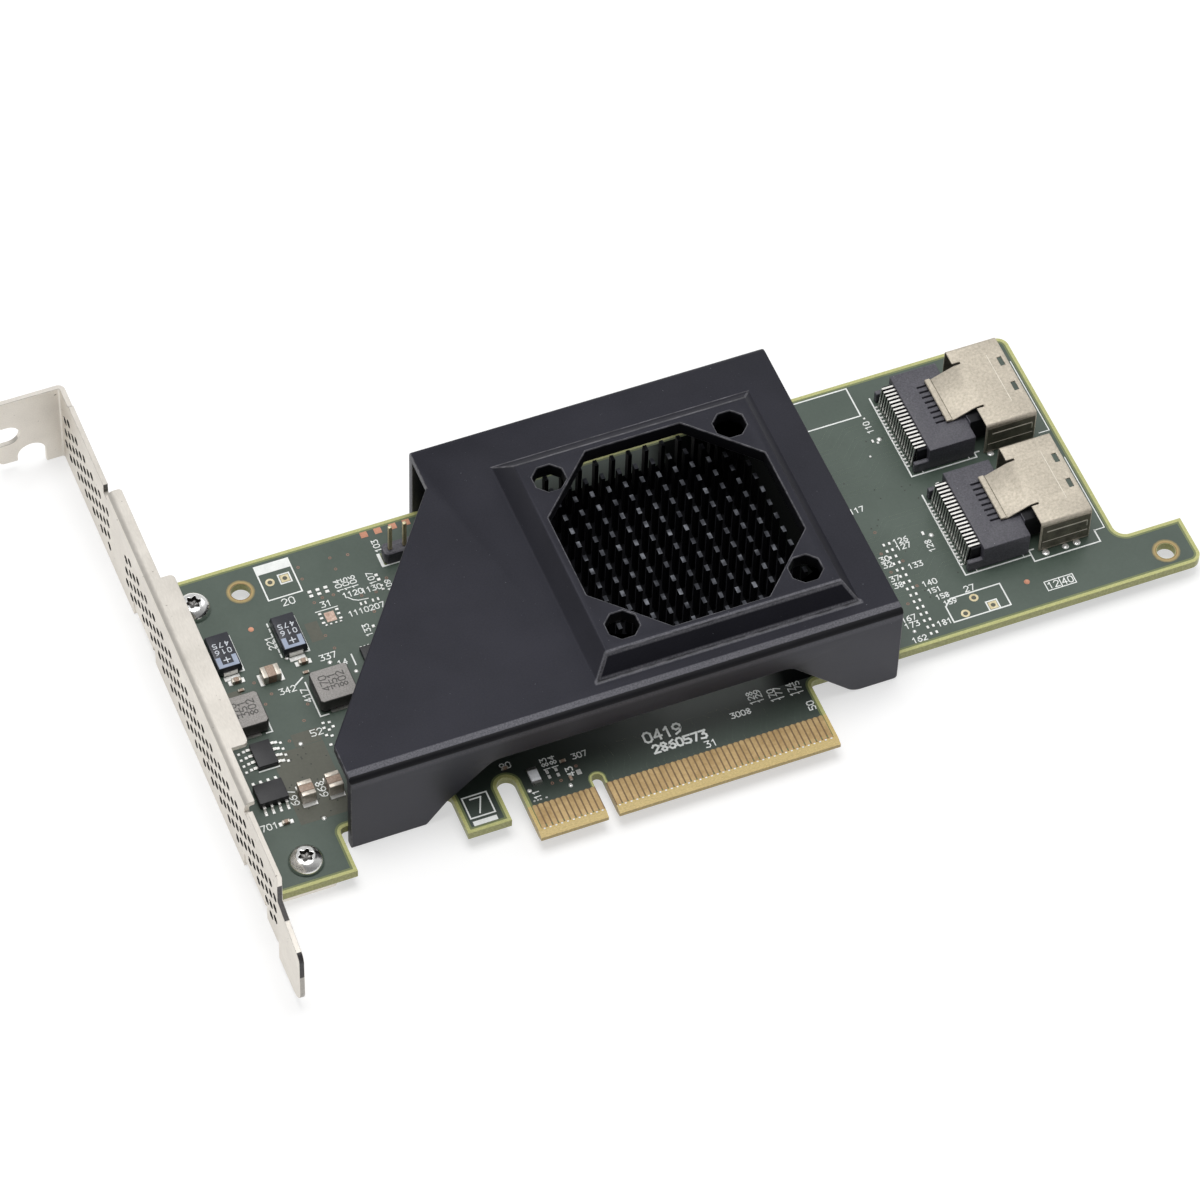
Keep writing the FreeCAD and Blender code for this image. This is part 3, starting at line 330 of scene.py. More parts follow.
# Noises of these finishes: size of the grain in millimetres, detail, roughness and stretch
MASK_GRAIN, MASK_CLOUD, MASK_RELIEF, MASK_CLOUD_SHARE = 0.5, 14.0, 0.8, 0.75
WEAVE = (0.35, 2.0, 0.5, (1, 3, 1))
RIM_GRAIN, RIM_UNEVEN = 0.5, 0.05
PIN_GRAIN, PIN_TIP_PATCH, PIN_RELIEF = 0.3, 2.4, 0.15
SHROUD_SPECKLE, SHROUD_PATCH, SHROUD_PATCH_SHARE = (0.3, 5.0, 0.7), 16.0, 0.5
EDGE_WEAR_AND_HIGHLIGHT_PATCH, WORN_RELIEF = (0.9, 5.0, 0.65, (0.4, 1, 1)), 0.22
PLATE_STREAKS, PLATE_PATCH = (0.25, 4.0, 0.6, (1, 0.25, 1)), (9.0, 4.0)
CUT_GRAIN, PORT_GRAIN = (0.3, 4.0), (0.3, 4.0, 0.6)
PATCH_SHARE, GRAIN_DETAIL, GRAIN_ROUGHNESS = 0.6, 4.0, 0.6

# Ends of their roughness, and depths of their relief in millimetres
MASK_ROUGHNESS, SHROUD_ROUGHNESS, WORN_ROUGHNESS = (0.34, 0.48), (0.44, 0.6), (0.38, 0.52)
PLATE_ROUGHNESS, PORT_ROUGHNESS = (0.46, 0.58), (0.42, 0.56)
PLATE_DEPTH, BOARD_DEPTH, MOULDED_DEPTH, SHROUD_DEPTH = 0.003, 0.004, 0.01, 0.012

# Sheen of the mask in the open and where its shade is painted, and the moulding's painted sheen on walls, on
# tops and leftwards
MASK_SHEEN, SHROUD_SHEEN, LEFT_SHEEN = (0.55, 0.04), (0.52, 0.24), (1.0, 1.6)
TOP_TURN, LEFT_TURN, SLOPE_SHADE_SHARE = 2.5, -1.3, 0.4

# Dust and specks: size, start in the noise and colour
DUST_SHARPNESS, DUST_DETAIL = 16.0, 2.0
SHROUD_DUST = (0.42, 0.75, (0.16, 0.16, 0.18))
PORT_DUST = (0.34, 0.71, (0.34, 0.34, 0.37))
PLATE_SPECKS = (0.8, 0.71, (0.20, 0.18, 0.155))

# Painted shade on the mask: ends and fade across the card under the shroud, and along it before the skirt
SHROUD_SHADE, SHROUD_SHADE_Y = (32.0, 55.0, 4.0), (14.0, BOARD_REAR)
SKIRT_SHADE, SKIRT_SHADE_X, SKIRT_SHADE_DEPTH = (2.0, 30.0, 9.0), (-26.0, 40.0), 0.7

# How square a face lies to the Z axis to count as flat, as a top or as turned up
FLAT, TOP_FACE, TURNED_UP = 0.97, 0.8, 0.5
PIN_TIP_DEPTH, TRACE_LIFT = 0.05, 1.14


# Finishes of the board

def finger_share(tree):
    """1 on the bare finger tab, 0 on the rest of the board."""
    across, along, _ = place_axes(tree)
    return (along < FINGER_MASK * MM) * (across > FINGER_LEFT * MM)


def flat_share(tree):
    """1 on faces that lie flat, 0 on walls and slopes."""
    return maths("ABSOLUTE", facing(tree, "Z")) > FLAT


def laminate_colour(tree):
    """Yellow-green glass laminate; the finger tab is gold-tan with brown between its pads."""
    weave = noise(tree, *WEAVE)
    pairs = (LAMINATE_TONES, FINGER_TONES, GAP_TONES)
    plain, finger, gap = (tones(weave, *pair, reach=0.2) for pair in pairs)
    across, along, _ = place_axes(tree)
    between = within(along, PAD_START, FINGER_MASK) * within(across, *GAP_ENDS) * flat_share(tree)
    return blend(finger_share(tree), plain, blend(between, finger, gap))


def solder_mask_finish(name, lift=1.0):
    """Grey-green mask on the flat faces, with bare laminate on the edges and the finger tab.

    Painted shade: under the shroud, beside the heatsink, the mask turns nearly black and loses its sheen, and
    before the skirt it turns darker.
    """
    material, tree, surface = new_shader(name)
    fine = noise(tree, MASK_GRAIN)
    cloud = mixed(noise(tree, MASK_CLOUD), fine, MASK_CLOUD_SHARE)
    dark, light = (tuple(lift * np.array(tone)) for tone in MASK_TONES)
    across, along, _ = place_axes(tree)
    # Painted shade: the shroud's shadow beside the heatsink, and the skirt's shadow before it
    shaded = soft_band(across, *SHROUD_SHADE) * within(along, *SHROUD_SHADE_Y)
    before = soft_band(along, *SKIRT_SHADE) * within(across, *SKIRT_SHADE_X)
    mask = blend(shaded, tones(cloud, dark, light, reach=0.15), MASK_SHADED)
    mask = blend(before * SKIRT_SHADE_DEPTH, mask, MASK_SHADED)
    masked = flat_share(tree) * (1.0 - finger_share(tree))
    fill(surface, Base_Color=blend(masked, laminate_colour(tree), mask),
         Roughness=spread(fine, *MASK_ROUGHNESS), Specular_IOR_Level=spread(shaded, *MASK_SHEEN))
    bump(surface, noise(tree, MASK_RELIEF), BOARD_DEPTH)
    return material


def bare_laminate_finish(name):
    """Laminate without mask, along the board's edges."""
    material, tree, surface = new_shader(name, roughness=0.45)
    fill(surface, Base_Color=laminate_colour(tree))
    bump(surface, noise(tree, *WEAVE), BOARD_DEPTH)
    return material


def hole_rim_finish(name):
    """Brown beside each open hole that goes over into the mask's green.

    The colour follows the distance from the nearer hole's axis, as a share of the rim's reach.
    """
    material, tree, surface = new_shader(name, roughness=0.45)
    across, along, _ = place_axes(tree)
    gaps = []
    for x, y in OPEN_HOLES:
        aside, before = across - x * MM, along - y * MM
        gaps.append(maths("SQRT", aside * aside + before * before))
    uneven = spread(noise(tree, RIM_GRAIN), -RIM_UNEVEN, RIM_UNEVEN)
    fill(surface, Base_Color=ramp(maths("MINIMUM", *gaps) / (RIM_OUTER * MM) + uneven, *RIM_STOPS))
    return material


# Finishes of the heatsink and the shroud

def dusted(colour, size, start, dust):
    """Colour with small specks of dust where a fine noise passes its start."""
    specks = (noise(colour.tree, size, DUST_DETAIL) - start) * DUST_SHARPNESS
    return blend(spread(specks, 0.0, 1.0), colour, dust)


def heatsink_finish(name):
    """Black pins with paler tips: the colour turns at the height of the tips."""
    material, tree, surface = new_shader(name, roughness=0.65, specular=0.08)
    tip = edges_of("heatsink")[1][2] - PIN_TIP_DEPTH
    at_tip = place_axes(tree)[2] > tip * MM
    black = tones(noise(tree, PIN_GRAIN), *PIN_TONES, reach=0.2)
    fill(surface, Base_Color=blend(at_tip, black, ramp(noise(tree, PIN_TIP_PATCH), *PIN_TIP_STOPS)))
    bump(surface, noise(tree, PIN_RELIEF), MOULDED_DEPTH)
    return material


def slope_depth(across, along):
    """How far a place lies inside the front slope's outline, seen from above: the least of four distances.

    The distance from a slanted side is a weighted sum of x and y.
    """
    depth = maths("MINIMUM", along - SLOPE_FOOT_Y * MM, SLOPE_TOP_Y * MM - along)
    rise = SLOPE_TOP_Y - SLOPE_FOOT_Y
    for foot, top in SLOPE_SIDES:
        run = top - foot
        share = math.copysign(1 / math.hypot(run, rise), run)
        side = (across - foot * MM) * (rise * share) - (along - SLOPE_FOOT_Y * MM) * (run * share)
        depth = maths("MINIMUM", depth, side)
    return depth


def painted_highlight_share(depth, across, along, height):
    """1 on the painted highlight bands, which stand in for light on rounded edges: the front slope's outline,
    the top behind the bend and the skirt under it.
    """
    beside = maths("MAXIMUM", depth / (HIGHLIGHT_INSIDE * MM), depth / (-HIGHLIGHT_OUTSIDE * MM))
    (left, _), (right, _) = SLOPE_SIDES
    outline = (spread((beside - HIGHLIGHT_FULL) / (1 - HIGHLIGHT_FULL), 1.0, 0.0)
               * soft_band(across, left - HIGHLIGHT_OUTSIDE, right + HIGHLIGHT_OUTSIDE, HIGHLIGHT_FADE))
    bend, low = SHROUD_FRONT + BEND_ROUND, SHROUD_TOP - BEND_ROUND
    behind = (soft_band(along, bend - BEND_FADE, bend + BEND_BAND, BEND_FADE)
              * (height > (SHROUD_TOP - LEVEL_SLACK) * MM))
    under = (soft_band(height, low - SKIRT_BAND, low + SKIRT_OVERLAP, SKIRT_FADE)
             * (along < (SHROUD_FRONT + LEVEL_SLACK) * MM))
    return maths("MAXIMUM", outline, maths("MAXIMUM", behind, under * SKIRT_HIGHLIGHT))


def moulded_finish(name):
    """Matte moulding: fine speckle in its colour and relief, with a painted sheen, more on walls than on
    tops.

    The front slope is darkened and dulled as painted shade, inside a paler outline that is a painted
    highlight.
    """
    material, tree, surface = new_shader(name)
    speckle = noise(tree, *SHROUD_SPECKLE)
    across, along, height = place_axes(tree)
    depth = slope_depth(across, along)
    # Painted shade: the front slope darkens and loses sheen inwards from its outline
    inside = spread(depth / (HIGHLIGHT_INSIDE * MM), 0.0, SLOPE_SHADE_SHARE)
    patches = mixed(noise(tree, SHROUD_PATCH), speckle, SHROUD_PATCH_SHARE)
    colour = dusted(tones(patches, *SHROUD_TONES, reach=0.12), *SHROUD_DUST)
    colour = blend(inside, colour, SLOPE_SHADE_BLACK)
    # Painted highlight: paler bands where rounded edges catch the light
    colour = blend(painted_highlight_share(depth, across, along, height), colour, tones(speckle, *HIGHLIGHT_TONES))
    # Painted sheen: more on walls than on tops, and more on slopes turned left
    sheen = spread(facing(tree, "Z") * TOP_TURN, *SHROUD_SHEEN)
    leftward = spread(facing(tree, "X") * LEFT_TURN, *LEFT_SHEEN)
    fill(surface, Base_Color=colour, Specular_IOR_Level=sheen * leftward * (1.0 - inside),
         Specular_Tint=SHROUD_TINT, Roughness=spread(speckle, *SHROUD_ROUGHNESS))
    bump(surface, speckle, SHROUD_DEPTH)
    return material


def edge_wear_and_highlight_finish(name):
    """Black with paler patches, partly edge wear and partly a painted highlight on the rounded edges: the
    paler colour shows where a noise passes its middle.
    """
    material, tree, surface = new_shader(name)
    wear_and_highlight = noise(tree, *EDGE_WEAR_AND_HIGHLIGHT_PATCH)
    fill(surface, Base_Color=ramp(wear_and_highlight, *EDGE_WEAR_AND_HIGHLIGHT_STOPS), Roughness=spread(wear_and_highlight, *WORN_ROUGHNESS))
    bump(surface, noise(tree, WORN_RELIEF), MOULDED_DEPTH)
    return material


# Finishes of the bracket, the ports and the small parts

def bracket_finish(name):
    """Nickel plate with brush streaks and sparse dark specks; faces turned up take a darker copy of its
    colours, painted shade.
    """
    material, tree, surface = new_shader(name, metallic=0.7)
    streaks = noise(tree, *PLATE_STREAKS)
    patches = mixed(noise(tree, *PLATE_PATCH), streaks, PATCH_SHARE)
    # Painted shade: faces turned up take the darker copy
    upward = facing(tree, "Z") > TURNED_UP
    colour = blend(upward, tones(patches, *PLATE_TONES), tones(patches, *PLATE_TOP_SHADE_TONES))
    fill(surface, Base_Color=dusted(colour, *PLATE_SPECKS), Roughness=spread(streaks, *PLATE_ROUGHNESS))
    bump(surface, streaks, PLATE_DEPTH)
    return material


def sheared_finish(name):
    """Cut edge of the tongue: dark along the slope and on the upper half of the tip, a painted dark
    reflection, plated elsewhere.
    """
    material, tree, surface = new_shader(name)
    _, along, height = place_axes(tree)
    dark = within(along, *SHEARED_SLOPE) + within(along, *SHEARED_TIP) * (height > SHEARED_LOW * MM)
    fine = noise(tree, *CUT_GRAIN)
    fill(surface, Base_Color=blend(dark, tones(fine, *CUT_PLATE_TONES), tones(fine, *CUT_SHADE_TONES)))
    bump(surface, fine, PLATE_DEPTH)
    return material


def port_finish(name):
    """Black moulding of the ports: fine grain and pale specks of dust."""
    material, tree, surface = new_shader(name)
    fine = noise(tree, *PORT_GRAIN)
    colour = dusted(tones(fine, *PORT_TONES), *PORT_DUST)
    fill(surface, Base_Color=colour, Roughness=spread(fine, *PORT_ROUGHNESS))
    bump(surface, fine, MOULDED_DEPTH)
    return material


def top_and_wall_finish(name, top, wall, roughness, grain):
    """Finish with one pair of colours on top and a darker pair on the walls."""
    material, tree, surface = new_shader(name)
    fine = noise(tree, grain, GRAIN_DETAIL, GRAIN_ROUGHNESS)
    on_top = facing(tree, "Z") > TOP_FACE
    colour = blend(on_top, tones(fine, *wall, reach=0.15), tones(fine, *top, reach=0.15))
    fill(surface, Base_Color=colour, Roughness=spread(fine, *roughness))
    bump(surface, fine, MOULDED_DEPTH)
    return material


def grained_finish(name, dark, light, roughness, grain, patch, depth, metallic=0.0, specular=0.5):
    """Finish with broad patches between two colours, and fine grain in its gloss and relief."""
    material, tree, surface = new_shader(name, metallic=metallic, specular=specular)
    fine = noise(tree, grain, GRAIN_DETAIL, GRAIN_ROUGHNESS)
    patches = mixed(noise(tree, patch, GRAIN_DETAIL), fine, PATCH_SHARE)
    fill(surface, Base_Color=tones(patches, dark, light), Roughness=spread(fine, *roughness))
    bump(surface, fine, depth)
    return material


# Grained finishes: dark, light, ends of the roughness, grain, patch, depth of relief, metallic, specular
GRAINED = {
    "thin_mask": ((0.12, 0.15, 0.055), (0.17, 0.20, 0.085), (0.38, 0.5), 0.4, 5.0, 0.004),
    "mask_over_pour": ((0.070, 0.072, 0.052), (0.093, 0.095, 0.070), (0.36, 0.48), 0.5, 12.0, 0.004),
    "white_ink": ((0.74, 0.76, 0.74), (0.88, 0.90, 0.88), (0.55, 0.7), 0.3, 3.0, 0.006),
    "gold_plate": ((0.38, 0.25, 0.108), (0.56, 0.40, 0.195), (0.32, 0.46), 0.6, 4.0, 0.003, 0.5),
    "bright_tin": ((0.62, 0.61, 0.58), (0.82, 0.81, 0.78), (0.22, 0.38), 0.3, 1.5, 0.006, 1.0),
    "solder": ((0.74, 0.74, 0.72), (0.92, 0.92, 0.90), (0.25, 0.4), 0.2, 1.0, 0.008, 0.6),
    "bare_copper": ((0.40, 0.17, 0.10), (0.58, 0.28, 0.18), (0.35, 0.5), 0.3, 2.0, 0.003, 0.3),
    "pale_plate": ((0.50, 0.42, 0.24), (0.72, 0.64, 0.43), (0.3, 0.45), 0.3, 1.5, 0.003, 0.5),
    "bare_pad": ((0.33, 0.21, 0.155), (0.66, 0.50, 0.42), (0.3, 0.45), 0.3, 0.7, 0.006, 0.4),
    "via_ring": ((0.17, 0.095, 0.065), (0.30, 0.17, 0.12), (0.4, 0.5), 0.2, 2.0, 0.003),
    "via_shadow": ((0.018, 0.020, 0.016), (0.03, 0.032, 0.026), (0.5, 0.6), 0.2, 2.0, 0.004),
    # Near black walls of the bracket's vents: painted shade
    "vent_wall_shade": ((0.014, 0.013, 0.012), (0.03, 0.028, 0.026), (0.5, 0.65), 0.25, 2.0, 0.003),
    "screw_plate": ((0.66, 0.66, 0.65), (0.84, 0.84, 0.83), (0.12, 0.24), 0.3, 2.0, 0.003, 1.0),
    "recess_shadow": ((0.06, 0.058, 0.055), (0.16, 0.155, 0.15), (0.25, 0.4), 0.3, 1.0, 0.003, 0.8),
    "cage_nickel": ((0.40, 0.36, 0.295), (0.58, 0.527, 0.44), (0.5, 0.66), 0.22, 0.5, 0.010, 0.6),
    # Paler and darker copies of the cage's nickel: painted highlight and painted shade
    "cage_bright": ((0.62, 0.58, 0.50), (0.78, 0.73, 0.64), (0.35, 0.5), 0.3, 2.0, 0.004, 0.75),
    "cage_shadow": ((0.09, 0.084, 0.062), (0.17, 0.158, 0.12), (0.4, 0.55), 0.3, 2.0, 0.004, 0.5),
    "port_shadow": ((0.005, 0.005, 0.007), (0.011, 0.011, 0.014), (0.5, 0.65), 0.3, 3.0, 0.006, 0.0, 0.25),
    # Darker copy of the shroud's plastic: painted shade
    "shroud_painted_shade": ((0.003, 0.003, 0.0045), (0.006, 0.006, 0.0085), (0.5, 0.65), 0.3, 6.0, 0.008, 0.0, 0.2),
    "chip_epoxy": ((0.013, 0.013, 0.015), (0.024, 0.024, 0.027), (0.45, 0.6), 0.15, 2.0, 0.008),
    "capacitor_end": ((0.42, 0.38, 0.325), (0.64, 0.59, 0.52), (0.3, 0.45), 0.3, 1.0, 0.006, 0.6),
    "tantalum_epoxy": ((0.010, 0.011, 0.018), (0.019, 0.021, 0.031), (0.30, 0.42), 0.2, 3.0, 0.005),
    "tantalum_band": ((0.27, 0.32, 0.43), (0.36, 0.41, 0.52), (0.35, 0.5), 0.2, 2.0, 0.004),
    "pale_marking": ((0.52, 0.55, 0.60), (0.64, 0.67, 0.72), (0.45, 0.6), 0.2, 2.0, 0.004),
    "dark_marking": ((0.06, 0.057, 0.054), (0.10, 0.095, 0.09), (0.5, 0.65), 0.2, 2.0, 0.004),
    "white_ceramic": ((0.66, 0.68, 0.70), (0.80, 0.82, 0.84), (0.4, 0.5), 0.3, 2.0, 0.004),
    "soft_pad": ((0.28, 0.29, 0.30), (0.36, 0.37, 0.38), (0.7, 0.85), 0.3, 3.0, 0.004),
}
# Finishes with other colours on top than on the walls: both pairs, ends of the roughness, grain
TOP_AND_WALL = {
    "pressed_ferrite": (((0.235, 0.222, 0.212), (0.35, 0.332, 0.317)),
                        ((0.022, 0.021, 0.02), (0.05, 0.048, 0.045)), (0.5, 0.65), 0.2),
    "fired_ceramic": (((0.29, 0.20, 0.145), (0.42, 0.31, 0.24)),
                      ((0.17, 0.11, 0.075), (0.26, 0.18, 0.13)), (0.35, 0.5), 0.3),
}
OWN_FINISHES = {"solder_mask": solder_mask_finish, "bare_laminate": bare_laminate_finish,
                "hole_rim": hole_rim_finish, "black_anodised": heatsink_finish,
                "shroud_plastic": moulded_finish, "shroud_worn_edge": edge_wear_and_highlight_finish,
                "bracket_nickel": bracket_finish, "sheared_edge": sheared_finish, "port_plastic": port_finish}
looks = {name: grained_finish(name, *row) for name, row in GRAINED.items()}
looks.update({name: top_and_wall_finish(name, *row) for name, row in TOP_AND_WALL.items()})
looks.update({name: make(name) for name, make in OWN_FINISHES.items()})
looks["mask_over_trace"] = solder_mask_finish("mask_over_trace", TRACE_LIFT)


def set_finishes(mesh, names):
    """Gives a mesh one finish, or a list of finishes in the order of its material places."""
    mesh.materials.clear()
    for name in names if isinstance(names, list) else [names]:
        mesh.materials.append(looks[name])


# Solids of the frame that are shown as they are
TINNED_NODES = ("tantalum_strips", "inductor_strips", "power_chip_leads", "memory_chip_leads", "fuse_ends",
                "port_leads_front", "port_leads_rear")
NODE_FINISHES = {"circuit_board": "solder_mask", "heatsink": "black_anodised", "thermal_pad": "soft_pad",
                 "controller_chip": "chip_epoxy", **dict.fromkeys(TINNED_NODES, "bright_tin")}
for node, finish in NODE_FINISHES.items():
    set_finishes(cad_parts[node].data, finish)


# Meshes from arrays

SHARP = math.radians(35)


def add_object(name, data):
    """New object in the scene."""
    thing = bpy.data.objects.new(name, data)
    bpy.context.scene.collection.objects.link(thing)
    return thing


def add_piece(name, mesh):
    """Object for a finished mesh, riding on the card."""
    piece = add_object(name, mesh)
    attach(piece, "root")
    return piece


def array_mesh(name, points, faces):
    """Mesh from points in millimetres and arrays of faces."""
    mesh = bpy.data.meshes.new(name)
    rows = [row for group in faces for row in np.asarray(group).tolist()]
    mesh.from_pydata((np.reshape(points, (-1, 3)) * MM).tolist(), [], rows)
    return mesh


def shade(mesh, smooth):
    """Shades all faces smooth or flat."""
    mesh.polygons.foreach_set("use_smooth", np.full(len(mesh.polygons), smooth))


def new_piece(name, points, faces, finishes, smooth=False):
    """One piece from points and faces; where it is smooth, its sharp edges stay sharp."""
    mesh = array_mesh(name, points, faces)
    set_finishes(mesh, finishes)
    shade(mesh, smooth)
    if smooth:
        mesh.set_sharp_from_angle(angle=SHARP)
    return add_piece(name, mesh)


def read_rows(elements, attribute, width, kind=float):
    """One attribute of a mesh's elements, a row for each."""
    values = np.empty(len(elements) * width, kind)
    elements.foreach_get(attribute, values)
    return values.reshape(-1, width)


def read_numbers(elements, attribute):
    """One whole number of each of a mesh's elements."""
    return read_rows(elements, attribute, 1, np.int32)[:, 0]


def repeated(faces, copies, points_each):
    """Faces of one shape, numbered on for each of its copies."""
    step = points_each * np.arange(copies)[:, None, None]
    return [(np.asarray(group)[None] + step).reshape(-1, np.shape(group)[1]) for group in faces]


def strip_faces(rings, sides, closed=False):
    """Quads between neighbouring rings of equal numbers of points; closed joins the last to the first."""
    ring = np.arange(rings if closed else rings - 1)[:, None]
    side = np.arange(sides)[None]
    after, beside = (ring + 1) % rings, (side + 1) % sides
    corners = np.stack([ring * sides + side, ring * sides + beside, after * sides + beside,
                        after * sides + side], axis=2)
    return corners.reshape(-1, 4)


def capped_faces(rings, sides):
    """Quads between neighbouring rings, and a cap on the first and on the last ring."""
    first = np.arange(sides)
    return [strip_faces(rings, sides), [first[::-1]], [first + (rings - 1) * sides]]


def rings_about_z(reach, height):
    """Rings about the Z axis: each reach times the cosine and sine of its angle, at its ring's height."""
    angle = np.arange(reach.shape[1]) * 2 * math.pi / reach.shape[1]
    levels = np.broadcast_to(np.reshape(height, (-1, 1)), reach.shape)
    return np.stack([reach * np.cos(angle), reach * np.sin(angle), levels], axis=2)


def turned_shapes(name, places, profile, sides, finish, closed=False):
    """Turned shapes at (x, y, size): profile points (radius, height) carried round in equal steps.

    A closed profile makes a ring; an open one is capped at its first and last radius.
    """
    rows = np.array(places, float)
    radius, height = np.array(profile, float).T
    rings = rings_about_z(np.repeat(radius[:, None], sides, axis=1), height)
    size = rows[:, 2:3] * (1, 1, 0) + (0, 0, 1)
    points = (rows * (1, 1, 0))[:, None, None] + rings[None] * size[:, None, None]
    faces = [strip_faces(len(radius), sides, True)] if closed else capped_faces(len(radius), sides)
    return new_piece(name, points, repeated(faces, len(rows), len(radius) * sides), finish, smooth=True)


def outward(points, faces):
    """Faces of a convex shape about the origin, turned so that each normal points away from the origin."""
    rows = np.array(faces)
    first, second, third = (points[rows[:, place]] for place in range(3))
    along_middle = (np.cross(second - first, third - first) * points[rows].mean(axis=1)).sum(axis=1)
    return np.where(along_middle[:, None] > 0, rows, rows[:, ::-1])


SQUARE_CORNERS = ((-1, -1), (1, -1), (1, 1), (-1, 1))


def bevelled_box_shape():
    """Box with cut edges: three points at each corner, one on each face that meets there."""
    corners = np.array([(x, y, z) for x in (-1, 1) for y in (-1, 1) for z in (-1, 1)])
    own_face = np.eye(3)
    flats = (corners[:, None] * own_face).reshape(-1, 3)
    insets = (corners[:, None] * (1 - own_face)).reshape(-1, 3)

    def first_point(axis, *signs):
        """Number of a corner's first point; its signs are given from this axis on."""
        return 3 * int(np.roll((np.array(signs) + 1) // 2, axis) @ (4, 2, 1))

    quads = []
    for axis in range(3):
        second, third = (axis + 1) % 3, (axis + 2) % 3
        for sign in (-1, 1):
            quads.append([first_point(axis, sign, *corner) + axis for corner in SQUARE_CORNERS])
            for other in (-1, 1):
                low, high = (first_point(axis, end, sign, other) for end in (-1, 1))
                quads.append([low + second, low + third, high + third, high + second])
    triangles = np.arange(len(flats)).reshape(-1, 3)
    trial = flats + insets / 2
    return flats, insets, [outward(trial, quads), outward(trial, triangles)]


BOX_FLATS, BOX_INSETS, BOX_FACES = bevelled_box_shape()


def bevelled_boxes(name, boxes, bevel, finish):
    """Boxes (x, y, bottom, width, depth, height), each corner cut back by the bevel.

    A point is the middle plus half the size on its own face, and half the size less the bevel
    along the two other axes.
    """
    rows = np.array(boxes, float)
    half = rows[:, None, 3:6] / 2
    middle = rows[:, None, 0:3] + half * (0, 0, 1)
    points = middle + BOX_FLATS * half + BOX_INSETS * (half - bevel)
    return new_piece(name, points, repeated(BOX_FACES, len(rows), len(BOX_FLATS)), finish)


BAR_FACES = [[[0, 1, 3, 2], [4, 6, 7, 5], [0, 4, 5, 1], [2, 3, 7, 6], [0, 2, 6, 4], [1, 5, 7, 3]]]
BAR_SIGNS = np.array([(a, b, c) for a in (-1, 1) for b in (-1, 1) for c in (0, 1)], float)


def flat_bars(name, segments, finish, bottom=TOP, height=INK):
    """Flat bars along segments (x0, y0, x1, y1, width), with square ends half a width long.

    Neighbouring bars differ a little in height, so that no two tops lie in one plane.
    """
    rows = np.array(segments, float)
    start, end, width = rows[:, 0:2], rows[:, 2:4], rows[:, 4:5]
    length = np.linalg.norm(end - start, axis=1, keepdims=True)
    along = np.where(length > 0, (end - start) / np.maximum(length, TINY), (1, 0))
    reach = along * (length + width) / 2
    side = along[:, ::-1] * (-1, 1) * width / 2
    flat = (((start + end) / 2)[:, None] + BAR_SIGNS[None, :, 0:1] * reach[:, None]
            + BAR_SIGNS[None, :, 1:2] * side[:, None])
    heights = height * (1 + BAR_STAGGER * (np.arange(len(rows)) % BAR_LEVELS))
    levels = bottom + BAR_SIGNS[None, :, 2:3] * heights[:, None, None]
    points = np.concatenate([flat, levels], axis=2)
    return new_piece(name, points, repeated(BAR_FACES, len(rows), len(BAR_SIGNS)), finish)


def path_bars(points, width):
    """Bars (x0, y0, x1, y1, width) along a line of points."""
    line = np.array(points, float)
    return np.column_stack([line[:-1], line[1:], np.full(len(line) - 1, width)]).tolist()


def frame_bars(left, low, right, high, width=LINE):
    """Bars round a rectangle."""
    return path_bars([(left, low), (right, low), (right, high), (left, high), (left, low)], width)


# Copies of the frame's solids with rounded edges

MERGE_DISTANCE, JOIN_ANGLE, BEVEL_ANGLE = 0.002, math.radians(0.5), math.radians(30)


def merged_copy(node):
    """Copy of a solid's mesh with its loose triangles merged and its flat faces joined."""
    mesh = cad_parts[node].data.copy()
    work = bmesh.new()
    work.from_mesh(mesh)
    bmesh.ops.remove_doubles(work, verts=work.verts, dist=MERGE_DISTANCE * MM)
    bmesh.ops.dissolve_limit(work, angle_limit=JOIN_ANGLE, verts=work.verts, edges=work.edges)
    work.to_mesh(mesh)
    work.free()
    shade(mesh, True)
    return mesh


def applied(mesh, add_modifier, *values, **options):
    """The mesh after a modifier has run on it."""
    piece = add_object("work", mesh)
    add_modifier(piece.modifiers, *values, **options)
    done = bpy.data.meshes.new_from_object(piece.evaluated_get(bpy.context.evaluated_depsgraph_get()))
    bpy.data.objects.remove(piece)
    return done


def add_bevel(modifiers, width, place=-1, segments=2, harden=True, limit="ANGLE"):
    """Rounds the edges sharper than an angle, or those with a bevel weight; place is their material."""
    bevel = modifiers.new("rounded", "BEVEL")
    bevel.width = width * MM
    bevel.segments = segments
    bevel.limit_method = limit
    bevel.angle_limit = BEVEL_ANGLE
    bevel.material = place
    bevel.use_clamp_overlap = False
    bevel.harden_normals = harden


def add_cut(modifiers, punches):
    """Takes the punches away from the piece."""
    cut = modifiers.new("cut", "BOOLEAN")
    cut.operation = "DIFFERENCE"
    cut.solver = "EXACT"
    cut.material_mode = "INDEX"
    cut.object = punches


def punch_object(points, faces, place=0):
    """Mesh used to cut holes, whose walls take the material of the given place."""
    mesh = array_mesh("punches", points, faces)
    mesh.polygons.foreach_set("material_index", np.full(len(mesh.polygons), place, np.int32))
    return add_object("punches", mesh)


